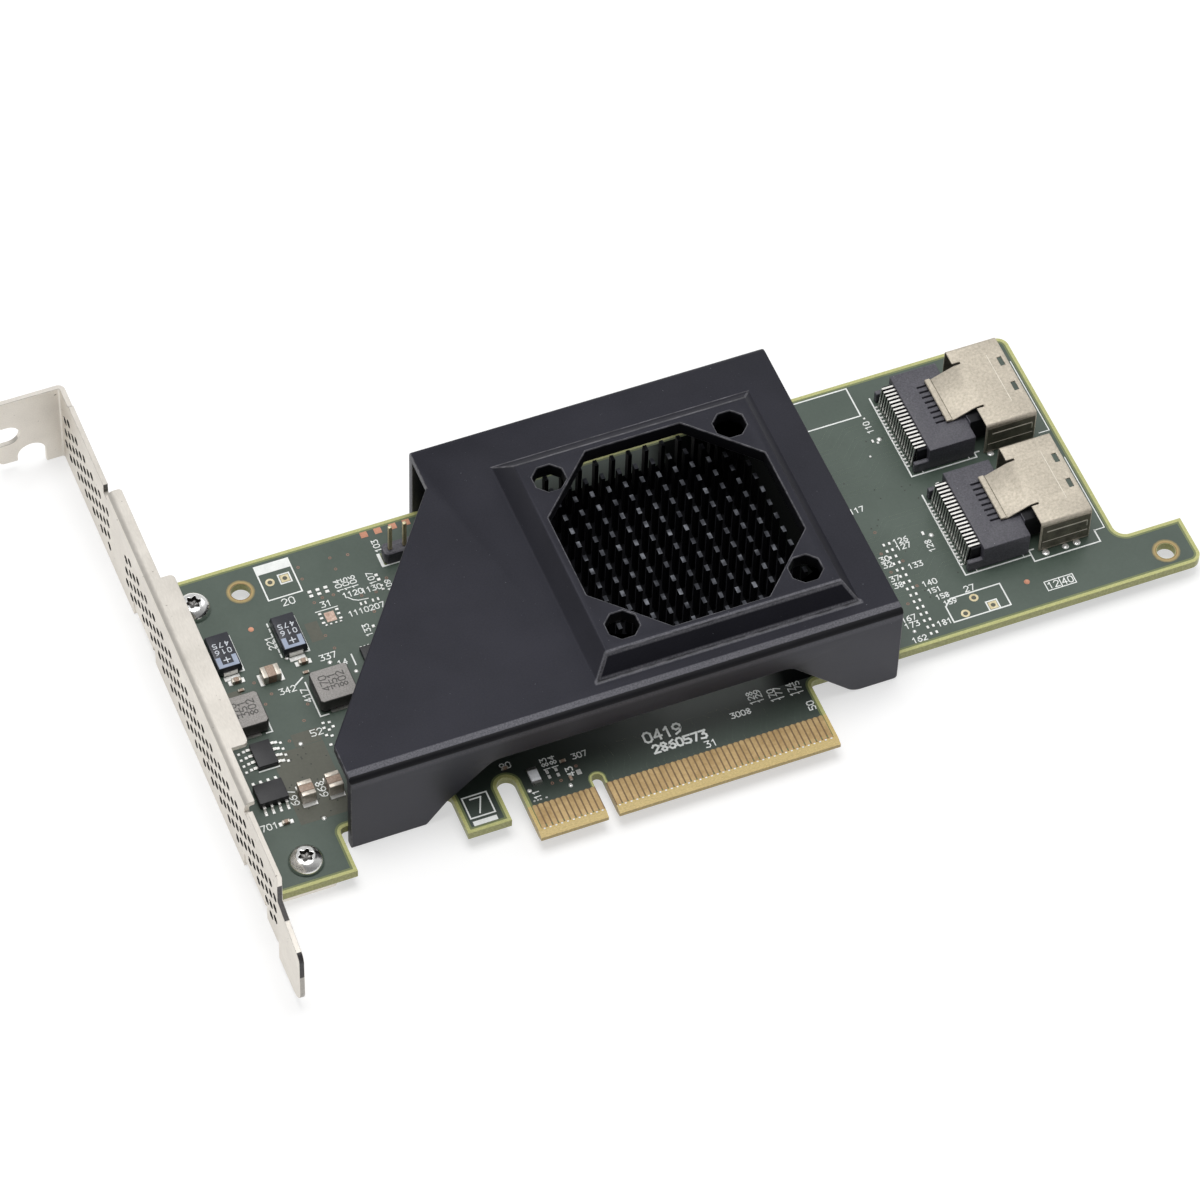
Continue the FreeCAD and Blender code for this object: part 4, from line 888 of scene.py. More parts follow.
def rounded_node(node, width, finishes, slot, segments=2, edge_finish="", prepare=None, punches=None,
                 flat=False):
    """Rounded copy of a solid that stands for it, first prepared or cut by punches where these are given.

    The rounded edges take a finish of their own where one is named.
    """
    mesh = merged_copy(node)
    set_finishes(mesh, finishes)
    if prepare is not None:
        mesh = prepare(mesh)
    if punches is not None:
        mesh = applied(mesh, add_cut, punches)
        bpy.data.objects.remove(punches)
    edge_place = mesh.materials.find(edge_finish)
    mesh = applied(mesh, add_bevel, width, edge_place, segments, harden=not flat)
    if flat:
        shade(mesh, False)
    piece = add_piece(node + "_rounded", mesh)
    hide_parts(node)
    return piece


def face_rows(piece):
    """Normals and middles of a piece's faces, each as rows of x, y and z; the middles in millimetres."""
    faces = piece.data.polygons
    return read_rows(faces, "normal", 3).T, read_rows(faces, "center", 3).T / MM


def refinish(piece, picked, finish):
    """Gives the picked faces another of the piece's finishes."""
    faces = piece.data.polygons
    place = piece.data.materials.find(finish)
    kept = read_numbers(faces, "material_index")
    faces.foreach_set("material_index", np.where(picked, place, kept).astype(np.int32))


# Bracket, shroud and small parts

# Share of a normal along an axis: a face beside the axis stays under the first, a slant passes the others
BESIDE, SLANTED, SLOPING, SQUARE = 0.3, 0.2, 0.4, 0.9
BRACKET_ROUND, BRACKET_FINISHES = 0.05, ["bracket_nickel", "vent_wall_shade", "sheared_edge", "recess_shadow"]
SHROUD_ROUND, SHROUD_FINISHES = 0.22, ["shroud_plastic", "shroud_worn_edge", "shroud_painted_shade"]
# Small parts: solid, width of the rounding, finish, slot and segments of the rounding
ROUNDED_PARTS = (
    ("inductor_left", 0.28, "pressed_ferrite", "ferrite", 3),
    ("tantalum_capacitor_left", 0.12, "tantalum_epoxy", "tantalum", 2),
    ("inductor_right", 0.28, "pressed_ferrite", "ferrite", 3),
    ("tantalum_capacitor_right", 0.12, "tantalum_epoxy", "tantalum", 2),
    ("ceramic_capacitors", 0.05, "fired_ceramic", "ceramic", 2),
    ("ceramic_capacitor_ends", 0.09, "capacitor_end", "tin", 2),
    ("fuse_body", 0.04, "white_ceramic", "fuse_ceramic", 2),
    ("pin_header_base", 0.1, "port_plastic", "port_plastic", 2),
    ("pin_header_pins", 0.12, "pale_plate", "gold", 2),
    ("clock_crystal", 0.15, "bright_tin", "crystal_can", 2),
    ("power_chip", 0.08, "chip_epoxy", "chip", 2),
    ("memory_chip", 0.08, "chip_epoxy", "chip", 2),
    ("monitor_chip", 0.08, "chip_epoxy", "chip", 2),
    ("boot_flash", 0.08, "chip_epoxy", "chip", 2),
)


def vent_middles():
    """Middles (y, z) of the vents: columns that step half a pitch to and fro, none over a tab."""
    middles = []
    for first, columns, starts_short in VENT_FIELDS:
        for column in range(columns):
            short = (column % 2 == 0) == starts_short
            y = first + column * VENT_STEP
            lowest = BRACKET_LOW + VENT_LOWEST + (VENT_COLUMN / 2 if short else 0)
            heights = lowest + np.arange(SHORT_COLUMN if short else LONG_COLUMN) * VENT_COLUMN
            over_tab = any(abs(y - tab) < TAB_KEEP_OUT for tab in SCREW_YS.values())
            middles += [(y, z) for z in heights if z > TAB_VENT_TOP or not over_tab]
    return np.array(middles)


def vent_punches():
    """Round bars through the bracket's face, one at each vent: a circle in Y and Z at two ends in X."""
    middles = vent_middles()
    ends = (BRACKET_FACE - BRACKET_SHEET, BRACKET_FACE + 2 * BRACKET_SHEET)
    bar = np.roll(rings_about_z(np.full((2, VENT_SIDES), VENT_RADIUS), ends), 1, axis=2)
    points = np.insert(middles, 0, 0, axis=1)[:, None, None] + bar
    faces = repeated(capped_faces(2, VENT_SIDES), len(middles), 2 * VENT_SIDES)
    # The cut walls take the near black vent finish, painted shade
    return punch_object(points, faces, BRACKET_FINISHES.index("vent_wall_shade"))


def mark_cut_edges(bracket):
    """Cut finish with its painted dark reflection on the shoulder's slope and the tongue's tip, and a grey
    one of painted shade on the flange's cut.
    """
    (nx, ny, nz), (_, y, z) = face_rows(bracket)
    shoulder = (nz > SLOPING) & (y > SHOULDER_Y[0]) & (y < SHOULDER_Y[1])
    tip = (ny < -BESIDE) & (y < SHEARED_TIP[1])
    refinish(bracket, (np.abs(nx) < BESIDE) & (shoulder | tip), "sheared_edge")
    flange = (y > FLANGE_CUT_Y[0]) & (y < FLANGE_CUT_Y[1]) & (z > FLANGE_CUT_LOW)
    refinish(bracket, flange & (ny < -SQUARE), "recess_shadow")


def round_feet(mesh):
    """The shroud's mesh with round corners on the skirt's right foot.

    The edges through the skirt at the foot's corners get a bevel weight, the outermost one half of it.
    """
    pairs = read_rows(mesh.edges, "vertices", 2, np.int32)
    ends = read_rows(mesh.vertices, "co", 3)[pairs] / MM
    (left, _, _), (right, rear, top) = ends.min(axis=1).T, ends.max(axis=1).T
    through = (top < SHROUD_FOOT + EDGE_SLACK) & (right - left < EDGE_SLACK)
    corner = through & (rear < SHROUD_FRONT + SKIRT_DEPTH) & (left > FAN_X)
    weights = np.where(left > SHROUD_RIGHT - EDGE_SLACK, 0.5, 1.0) * corner
    mesh.attributes.new("bevel_weight_edge", "FLOAT", "EDGE").data.foreach_set("value", weights)
    return applied(mesh, add_bevel, FOOT_ROUND, 0, FOOT_SEGMENTS, limit="WEIGHT")


def refinish_shroud_edges_and_shade(shroud):
    """Plain finish on the platform's side edges, and a dark finish on the bend above the skirt, a painted
    dark reflection, and on the walls in the fan openings, painted shade.
    """
    (_, ny, nz), (x, y, z) = face_rows(shroud)
    aside, behind = np.abs(x - FAN_X), np.abs(y - FAN_Y)
    refinish(shroud, (aside > FAN_REACH) & (behind < FAN_REACH - PLATFORM_CORNER), "shroud_plastic")
    bend = (y < SHROUD_FRONT + BEND_ROUND + BEND_FADE) & (ny < -SLANTED) & (nz > SLANTED)
    walls = (np.abs(nz) < BESIDE) & (aside < FAN_REACH) & (behind < FAN_REACH) & (z > FAN_LOW)
    refinish(shroud, bend | walls, "shroud_painted_shade")


mark_cut_edges(rounded_node("io_bracket", BRACKET_ROUND, BRACKET_FINISHES, "bracket_sheet", 1,
                            punches=vent_punches(), flat=True))
refinish_shroud_edges_and_shade(rounded_node("air_shroud", SHROUD_ROUND, SHROUD_FINISHES, "shroud",
                         edge_finish="shroud_worn_edge", prepare=round_feet))
for row in ROUNDED_PARTS:
    rounded_node(*row)


# Board: bare margins, hole rims, pours and traces

BAND_FACES = np.array([[4, 5, 6, 7], [3, 2, 1, 0], [0, 1, 5, 4], [2, 3, 7, 6]])
BAND_POINTS, FACE_LIMIT = 8, 0.99
# Copper under the mask: x, y, width and depth
POURS = ((-43.2, 23.1, 9.0, 14.6), (-41.0, 31.8, 4.6, 2.6), (-32.4, 51.4, 2.2, 4.0), (-51.6, 44.0, 7.6, 1.2))
POUR_STEP = MASK_STEP * 1.5
# Traces, two of each group: ys of a finger's trace and xs of a lead's, where it starts, turns and ends
TRACE_WIDTH, TRACE_GROUP, REACH_CYCLE = 0.12, 3, 4
FINGER_TRACE_YS = (6.3, 7.3, 13.2)
FINGER_TRACE_REACH, FINGER_TRACE_STEP, FINGER_TRACE_LEAN, FINGER_TRACE_SHIFT = 9.4, 1.3, 0.5, 1.1
PORT_TRACE_XS = (72.2, 70.5, 55.5)
PORT_TRACE_STEP, PORT_TRACE_SLANT = 0.35, 3.2


def margin_widths(points):
    """Width of the bare margin at points of the outline: narrow round holes and in the key notch."""
    x, y = points.T
    gaps = [np.hypot(x - hole_x, y - hole_y) for hole_x, hole_y in BOARD_HOLES]
    in_notch = (np.abs(x) < NOTCH_REACH) & (y > NOTCH_START) & (y < NOTCH_TOP)
    return np.where((np.min(gaps, axis=0) < HOLE_REACH) | in_notch, HOLE_MARGIN, MARGIN_WIDTH)


def outline_edges(mesh, sign):
    """Numbers of the first and last points of the edges between walls and the faces up (1) or down (-1).

    On such an edge the product of its two faces' normals along Z is under the limit.
    """
    upward = read_rows(mesh.polygons, "normal", 3)[:, 2]
    start, count = read_numbers(mesh.polygons, "loop_start"), read_numbers(mesh.polygons, "loop_total")
    corner, edge = read_numbers(mesh.loops, "vertex_index"), read_numbers(mesh.loops, "edge_index")
    turned = np.repeat(upward, count)
    product = np.ones(len(mesh.edges))
    np.multiply.at(product, edge, turned)
    after = np.arange(len(corner)) + 1
    after[start + count - 1] = start
    picked = (turned * sign > FACE_LIMIT) & (product[edge] < FACE_LIMIT)
    return corner[picked], corner[after][picked]


def board_band(name, start, end, finish):
    """Band along every edge of the board's two faces, between two shares of the margin.

    Each edge between a flat face and a wall is moved inwards, with its ends on the mitre of the
    two neighbouring edges: twice the sum of their normals over its square.
    """
    mesh = merged_copy("circuit_board")
    points = read_rows(mesh.vertices, "co", 3)[:, :2] / MM
    widths = margin_widths(points)[:, None]
    bands, faces, count = [], [], 0
    for level, sign in ((TOP, 1), (UNDER, -1)):
        first, last = outline_edges(mesh, sign)
        along = points[last] - points[first]
        along /= np.linalg.norm(along, axis=1, keepdims=True)
        inward = along[:, ::-1] * (-sign, sign)
        total = np.zeros_like(points)
        np.add.at(total, first, inward)
        np.add.at(total, last, inward)
        mitre = 2 * total / np.maximum((total ** 2).sum(axis=1, keepdims=True), TINY)
        outer, inner = (points + mitre * widths * share for share in (start, end))
        flat = np.stack([outer[first], outer[last], inner[last], inner[first]], axis=1)
        layers = [np.insert(flat, 2, height, axis=2) for height in (level, level + sign * MASK_STEP)]
        bands.append(np.concatenate(layers, axis=1))
        faces += [group + count for group in repeated([BAND_FACES[:, ::sign]], len(first), BAND_POINTS)]
        count += BAND_POINTS * len(first)
    return new_piece(name, np.concatenate(bands), faces, finish)


def hole_rims():
    """Brown rims round the two open holes, wider than the bare ring."""
    top = TOP + MASK_STEP * 2
    ring = [(RIM_INNER, TOP), (RIM_OUTER, TOP), (RIM_OUTER, top), (RIM_INNER, top)]
    places = [(*hole, 1) for hole in OPEN_HOLES]
    turned_shapes("hole_rims", places, ring, RIM_SIDES, "hole_rim", True)


def copper_pours():
    """Flat areas where the mask lies over copper: a field beside the shroud and smaller ones."""
    boxes = [(x, y, TOP, *size, POUR_STEP) for x, y, *size in POURS]
    bevelled_boxes("copper_pours", boxes, MASK_STEP / 2, "mask_over_pour")


def hidden_traces():
    """Conductors under the mask: pairs that leave the finger pads and the ports' leads."""
    bars = []
    start, turn, end = FINGER_TRACE_YS
    for pad in range(LONG_PADS):
        x = FIRST_PAD + pad
        reach = FINGER_TRACE_REACH + FINGER_TRACE_STEP * (pad % REACH_CYCLE)
        farthest = x + FINGER_TRACE_LEAN * (reach - turn)
        if (pad + 1) % TRACE_GROUP and farthest < GAP_ENDS[1] - MARGIN_WIDTH:
            line = [(x, start), (x, turn), (farthest, reach), (x + FINGER_TRACE_SHIFT, end)]
            bars += path_bars(line, TRACE_WIDTH)
    start, turn, end = PORT_TRACE_XS
    for middle in PORT_YS.values():
        for lead, y in enumerate(lead_ys(middle)):
            bend, low = turn - PORT_TRACE_STEP * lead, y - PORT_TRACE_SLANT
            if lead % TRACE_GROUP:
                line = [(start, y), (bend, y), (bend - PORT_TRACE_SLANT, low), (end, low)]
                bars += path_bars(line, TRACE_WIDTH)
    flat_bars("hidden_traces", bars, "mask_over_trace", TOP, MASK_STEP)


board_band("bare_margins", 0, BARE_SHARE, "bare_laminate")
board_band("thin_mask_margins", BARE_SHARE, 1, "thin_mask")
hole_rims()
copper_pours()
hidden_traces()


# White print: plain numbers, outlines and fields

# Strokes of each digit in a box 1 wide and DIGIT_TALL high
DIGIT_LINES = {
    "0": ((0, 0.3), (0.3, 0), (0.7, 0), (1, 0.3), (1, 1.3), (0.7, 1.6), (0.3, 1.6), (0, 1.3), (0, 0.3)),
    "1": ((0.15, 1.25), (0.55, 1.6), (0.55, 0)),
    "2": ((0, 1.3), (0.3, 1.6), (0.7, 1.6), (1, 1.3), (1, 1.0), (0, 0), (1, 0)),
    "3": ((0, 1.6), (1, 1.6), (0.45, 0.95), (0.75, 0.95), (1, 0.65), (1, 0.3), (0.7, 0), (0, 0.1)),
    "4": ((0.75, 0), (0.75, 1.6), (0, 0.5), (1, 0.5)),
    "5": ((1, 1.6), (0, 1.6), (0, 0.9), (0.7, 0.9), (1, 0.6), (1, 0.3), (0.7, 0), (0, 0.1)),
    "6": ((0.9, 1.6), (0.3, 1.3), (0, 0.8), (0, 0.3), (0.3, 0), (0.7, 0), (1, 0.3), (1, 0.6), (0.7, 0.9),
          (0, 0.8)),
    "7": ((0, 1.6), (1, 1.6), (0.35, 0)),
    "8": ((0.5, 0.85), (0, 1.2), (0.3, 1.6), (0.7, 1.6), (1, 1.2), (0, 0.4), (0.3, 0), (0.7, 0), (1, 0.4),
          (0.5, 0.85)),
    "9": ((0.1, 0), (0.7, 0.3), (1, 0.8), (1, 1.3), (0.7, 1.6), (0.3, 1.6), (0, 1.3), (0, 1.0), (0.3, 0.7),
          (1, 0.8)),
}
DIGIT_TALL, DIGIT_STEP, DIGIT_SWELL = 1.6, 1.45, 1.12
QUARTER_TURNS = ((1, 0), (0, 1), (-1, 0), (0, -1))


def number_bars(text, x, y, height, turn=0, width=FINE_LINE):
    """Bars of a plain number, centred on (x, y) and turned anticlockwise by quarter turns."""
    scale = DIGIT_SWELL * height / DIGIT_TALL
    total = DIGIT_STEP * (len(text) - 1) + 1
    cos, sin = QUARTER_TURNS[turn]
    bars = []
    for place, digit in enumerate(text):
        line = np.array(DIGIT_LINES[digit]) + (place * DIGIT_STEP - total / 2, -DIGIT_TALL / 2)
        line = line @ np.array([(cos, sin), (-sin, cos)]) * scale + (x, y)
        bars += path_bars(line, width)
    return bars


# Plain numbers on the board: text, x, y, height, quarter turns
NUMBERS = (
    ("20", -34.3, 58.8, 1.2, 0), ("31", -28.7, 56.1, 1.0, 0), ("104", -25.5, 58.8, 0.9, 1),
    ("105", -24.2, 58.8, 0.9, 1), ("106", -22.9, 58.8, 0.9, 1), ("1120", -23.8, 56.6, 0.9, 0),
    ("1130", -20.6, 56.4, 0.9, 0), ("1110", -24.2, 52.7, 0.9, 0), ("207", -21.0, 52.7, 0.9, 0),
    ("107", -19.9, 58.4, 0.9, 1), ("109", -17.6, 56.1, 0.8, 1), ("133", -24.2, 48.6, 0.9, 1),
    ("103", -16.7, 64.4, 0.9, 1), ("221", -40.0, 51.7, 0.95, 1), ("337", -32.1, 45.9, 1.0, 0),
    ("342", -40.6, 41.8, 1.0, 0), ("417", -38.1, 39.7, 1.0, 1), ("52", -39.1, 32.2, 1.1, 0),
    ("667", -47.1, 21.3, 1.1, 1), ("668", -42.2, 21.3, 1.1, 1), ("701", -52.6, 17.3, 1.0, 0),
    ("14", -30.3, 43.9, 0.9, 0), ("90", -13.0, 15.1, 1.0, 0), ("11", -10.3, 8.0, 0.9, 1),
    ("183", -6.9, 13.0, 0.9, 1), ("184", -5.5, 13.0, 0.9, 1), ("43", -3.6, 10.3, 1.0, 1),
    ("307", -1.0, 12.9, 0.9, 0), ("31", 19.8, 7.4, 1.1, 0), ("3008", 26.6, 11.2, 0.9, 0),
    ("50", 38.0, 8.6, 1.0, 1), ("128", 29.4, 13.4, 0.9, 1), ("129", 30.7, 13.4, 0.9, 1),
    ("170", 32.8, 12.7, 0.9, 1), ("177", 34.0, 12.7, 0.9, 1), ("174", 36.2, 12.7, 0.9, 1),
    ("175", 37.4, 12.7, 0.9, 1), ("110", 69.8, 58.6, 0.9, 1), ("128", 69.4, 31.8, 0.9, 1),
    ("27", 71.9, 21.4, 1.0, 0), ("117", 60.9, 43.0, 0.9, 0),
    ("126", 65.2, 34.6, 0.9, 0), ("127", 65.2, 33.3, 0.9, 0), ("130", 60.7, 31.9, 0.9, 0),
    ("132", 60.7, 30.6, 0.9, 0), ("133", 65.5, 29.0, 0.9, 0), ("137", 60.7, 27.6, 0.9, 0),
    ("138", 60.7, 26.1, 0.9, 0), ("140", 66.2, 24.8, 0.9, 0), ("151", 66.3, 23.1, 0.8, 0),
    ("158", 67.1, 21.5, 0.8, 0), ("159", 67.8, 19.9, 0.8, 0), ("167", 60.0, 19.2, 0.9, 0),
    ("173", 60.0, 17.8, 0.9, 0), ("181", 65.2, 16.4, 0.9, 0), ("162", 60.0, 14.7, 0.9, 0),
)
# Tantalum capacitors: middles, and reach, ends and dashes of the lines beside them
TANTALUM_XS, TANTALUM_LINE, TANTALUM_YS = {"right": -36.85, "left": -48.2}, 2.35, (48.2, 55.6)
TANTALUM_FOOT, TANTALUM_FOOT_Y = 1.6, 48.1
DASH_YS, DASH_LENGTH = np.arange(48.4, 55.4, 1.1), 0.6
# Outline of a port: front and rear distances from its middle, the step at the cage and the tail's line
PORT_FRONT, PORT_REAR, PORT_LEFT = 9.05, 8.9, 72.45
PORT_STEP, PORT_STEP_XS, PORT_TICK_XS, PORT_TICK = 1.0, (84.4, 85.2), (74.6, 83.1), 0.5
PORT_TAIL_XS, PORT_TAIL_REAR = (96.4, 98.25), 7.9


def tantalum_outlines():
    """A line with a foot right of each tantalum capacitor, and dashes left of the right one."""
    bars = []
    for side, x in TANTALUM_XS.items():
        edge = x + TANTALUM_LINE
        bars += [(edge, TANTALUM_YS[0], edge, TANTALUM_YS[1], LINE),
                 (x + TANTALUM_FOOT, TANTALUM_FOOT_Y, edge, TANTALUM_FOOT_Y, LINE)]
        if side == "right":
            bars += [(x - TANTALUM_LINE, y, x - TANTALUM_LINE, y + DASH_LENGTH, LINE) for y in DASH_YS]
    return bars


def port_outlines():
    """Stepped line round each port's housing with two ticks, and a fine line beside its tail."""
    bars = []
    for middle in PORT_YS.values():
        low, step = middle - PORT_FRONT, middle - PORT_FRONT + PORT_STEP
        near, far = PORT_STEP_XS
        bars += path_bars([(PORT_LEFT, middle + PORT_REAR), (PORT_LEFT, low), (near, low), (near, step),
                           (far, step)], LINE)
        bars += [(x, low, x, low + PORT_TICK, FINE_LINE) for x in PORT_TICK_XS]
        near, far = PORT_TAIL_XS
        bars += path_bars([(near, step), (far, step), (far, middle + PORT_TAIL_REAR)], FINE_LINE)
    return bars


# Printed marks, as bars (x0, y0, x1, y1, width), frames, paths and larger numbers
PRINTED_MARKS = [
    # Two-pin place with a white field at its rear end, and squares round the square pins
    *frame_bars(-37.3, 60.0, -31.4, 67.3),
    (-36.4, 66.4, -32.3, 66.4, 1.8),
    *frame_bars(-34.15, 62.55, -32.25, 64.45),
    *frame_bars(73.25, 15.85, 75.15, 17.75),
    # Header, bare chip place and marks beside the shroud
    (-17.1, 60.3, -17.1, 62.5, 0.55),
    (-17.2, 60.0, -9.0, 60.0, LINE),
    (-30.9, 55.0, -27.1, 55.0, FINE_LINE),
    *path_bars([(-24.9, 56.1), (-24.2, 55.3), (-23.4, 54.9), (-21.8, 54.7)], FINE_LINE),
    (-28.4, 42.7, -28.4, 44.9, LINE),
    (-39.0, 42.3, -37.5, 43.3, LINE),
    # Tantalum capacitors and inductors
    *tantalum_outlines(),
    (-37.4, 35.0, -37.4, 42.2, LINE),
    (-37.4, 34.9, -36.0, 34.9, LINE),
    (-45.7, 35.0, -45.7, 37.2, LINE),
    (-46.7, 34.9, -45.7, 34.9, LINE),
    (-50.4, 28.0, -47.0, 28.0, LINE),
    # White frame behind the shroud's right end and plain frames on the tail
    *frame_bars(52.5, 61.4, 69.6, 67.7),
    *frame_bars(84.0, 16.2, 89.1, 18.1, FINE_LINE),
    (86.6, 16.2, 86.6, 18.1, FINE_LINE),
    *number_bars("12", 85.3, 17.15, 1.1),
    *number_bars("40", 87.85, 17.15, 1.1),
    # Larger plain numbers near the front edge
    *number_bars("0419", 13.2, 12.1, 1.7, 0, BOLD_LINE),
    *number_bars("2860573", 15.2, 9.5, 1.35, 0, BOLD_LINE),
    *frame_bars(-21.9, 7.3, -17.7, 11.5),
    *number_bars("7", -19.8, 9.4, 2.6, 0, LINE),
    (-21.4, 6.2, -18.2, 6.2, 0.9),
    # Three-pin place with a cut corner
    *path_bars([(66.7, 15.8), (66.7, 19.2), (68.1, 20.5), (77.0, 20.5), (77.0, 15.8), (66.7, 15.8)], LINE),
    # Ports, and a three-sided line before the front one
    *port_outlines(),
    *path_bars([(84.4, 25.1), (84.4, 22.6), (96.4, 22.6), (96.4, 25.1)], LINE),
]
PRINTED_NUMBERS = [bar for row in NUMBERS for bar in number_bars(*row)]
flat_bars("white_print", PRINTED_NUMBERS + PRINTED_MARKS, "white_ink")


# Solder, bare copper and plated places

CHIP_STEPS = 1.27 * (np.arange(4) - 1.5)
SOLDER_HEIGHT, SOLDER_BEVEL = 0.11, 0.05
# Solder pads at every x and y of a row: xs, ys, width, depth
PAD_ROWS = (
    # Pairs for small parts in the column right of the shroud, and single places there
    ((62.2, 63.2), np.arange(15.0, 35.5, 1.4), 0.45, 0.6),
    ((69.3,), (55.6,), 0.4, 0.7), ((70.0,), (55.0,), 0.4, 0.5), ((69.3,), (34.6,), 0.5, 0.8),
    ((67.6,), (52.7,), 0.4, 0.4), ((69.9,), (60.6,), 0.4, 0.4), ((75.9,), (43.4,), 0.7, 0.5),
    # Bare places left of the shroud
    ((-30.4, -29.0, -27.6), (59.3, 58.4), 0.7, 0.6), ((-30.4, -27.4), (54.4, 53.5, 52.5), 0.6, 0.45),
    ((-30.1, -29.3, -28.4, -27.6), (51.9,), 0.4, 0.35), ((-23.3, -22.5, -21.2, -20.3), (54.0,), 0.35, 0.7),
    ((-18.9,), (58.7,), 0.6, 0.6), ((-18.8,), (57.7,), 0.6, 0.6), ((-18.8,), (56.4, 55.6), 0.5, 0.4),
    ((-23.0,), (49.0,), 0.5, 0.6),
    # An inner and an outer spot at each lead of the power chip
    ((-51.5, -46.0), 30.7 + CHIP_STEPS, 0.55, 0.55),
    ((-52.4,), 30.5 + CHIP_STEPS, 0.5, 0.5), ((-45.3,), 30.35 + CHIP_STEPS, 0.5, 0.5),
    # Monitor chip and feet of the memory chip
    (-26.4 + 0.65 * np.arange(4), (45.6,), 0.35, 0.5),
    (-50.3 + CHIP_STEPS, (19.75,), 0.5, 0.7), (-50.3 + CHIP_STEPS, (26.1,), 0.5, 0.5),
    # Beside the fingers
    ((-7.1,), (11.5, 10.5), 0.5, 0.7), ((-5.6,), (11.5, 10.4), 0.5, 0.7), ((-2.3,), (9.7,), 0.8, 1.0),
    ((-4.5,), (7.8,), 0.5, 0.6), ((-9.0, -10.0), (6.9,), 0.4, 0.3), ((-11.1, -10.5), (6.9,), 0.35, 0.3),
    # Ends of the ceramic and of the tantalum capacitors
    ((-44.9, -40.2), (19.2,), 2.5, 0.9), ((-44.9, -40.2), (22.8,), 2.5, 0.8),
    ((-44.0, -40.6), (45.1,), 0.8, 2.4), ((-50.7, -48.9), (17.1,), 0.7, 0.8),
    ((-37.3, -35.3), (46.1,), 0.8, 1.0), ((-48.8, -46.8), (46.3,), 0.8, 1.0),
    (TANTALUM_XS.values(), (47.3, 55.9), 2.7, 0.9),
    # Toes of the ports' leads
    ((LEAD_TOE - TOE_STEP,), np.concatenate([lead_ys(middle) for middle in PORT_YS.values()]), 0.62, 0.42),
)
# Scattered pads of one size before the right inductor
LOOSE_PADS = ((-37.5, 33.5), (-36.5, 33.3), (-37.7, 32.5), (-37.0, 31.9), (-36.2, 32.3), (-37.8, 31.0),
              (-37.0, 30.6), (-37.8, 29.0))
LOOSE_PAD = (0.55, 0.5)

# Round spots: x, y and radius
SOLDER_DOMES = ((-42.3, 30.9, 0.42), (-43.8, 15.8, 0.42), (-32.2, 44.6, 0.42), (-28.8, 41.4, 0.4),
                (-38.5, 47.9, 0.36), (70.5, 55.6, 0.45), (70.5, 33.8, 0.45), (-11.1, 9.1, 0.4),
                (-4.5, 7.7, 0.36), (59.8, 16.4, 0.35))
CAGE_JOINTS = ((86.9, 23.7, 0.66), (90.5, 23.7, 0.6), (92.6, 23.8, 0.66), (86.9, 46.2, 0.6),
               (87.6, 46.9, 0.35))
COPPER_SPOTS = ((81.4, 19.2, 0.52), (-42.0, 55.5, 0.5))
VIA_RADIUS = 0.28
VIAS = ((-30.4, 64.8), (-30.6, 62.3), (-24.8, 64.8), (-21.8, 64.4), (-24.7, 62.3), (-30.4, 57.0),
        (-28.8, 57.5), (-26.9, 57.4), (-30.5, 47.1), (-31.0, 50.0), (-17.5, 57.6), (-21.8, 51.8),
        (-43.8, 32.1), (-40.2, 35.1), (-38.5, 38.0), (-44.9, 40.4), (-43.3, 42.0), (-45.2, 45.1),
        (61.1, 33.1), (63.9, 30.5), (61.1, 29.0), (64.0, 24.9), (61.1, 22.0), (61.9, 37.6), (-7.1, 9.2),
        (-5.6, 9.2), (-2.3, 11.0), (-22.6, 55.6), (-20.1, 55.5))
# Profiles of the round spots: share of the radius, height over the board
DOME = ((1.0, 0), (0.92, 0.05), (0.7, 0.12), (0.35, 0.17), (0.06, 0.18))
VIA_PROFILE = ((0.5, 0), (1.0, 0), (1.0, COPPER / 2), (0.5, COPPER / 2))
COPPER_PROFILE = ((1.0, 0), (0.95, COPPER), (0.6, COPPER), (0.45, COPPER / 2), (0.1, COPPER / 2))
SPOT_SIDES = 12

# Places of headers that are not fitted: round and square pins, and the profiles of ring and plug
ROUND_PINS = ((-35.8, 63.5), (71.8, 19.3), (69.2, 16.8))
SQUARE_PINS, SQUARE_SIDE = ((-33.2, 63.5), (74.2, 16.8)), 1.5
PIN_RING = ((0.42, 0), (0.78, 0), (0.78, COPPER), (0.42, COPPER))
PIN_PLUG = ((0.44, 0), (0.40, COPPER * 1.3), (0.05, COPPER * 1.2))
RING_SIDES, PLUG_SIDES = 24, 16
CENTRE_PAD = (-28.9, 53.4, TOP, 1.7, 2.0, COPPER)
EDGE_SQUARE_XS, EDGE_SQUARE_Y, EDGE_SQUARE = (-17.85, -15.4, -12.75, -10.35), 67.35, (1.25, 1.2, COPPER)

# Filled vias: corners of the fields that they are scattered over, with their numbers
VIA_FIELDS = (((-47.2, 16.2), (-39.2, 30.2), 26), ((56.0, 15.5), (72.0, 60.0), 30))
FILLED_RADIUS, FILLED_SIDES = 0.14, 8
FILLED_PROFILE = ((1.0, 0), (1.0, 0.012), (0.2, 0.012))


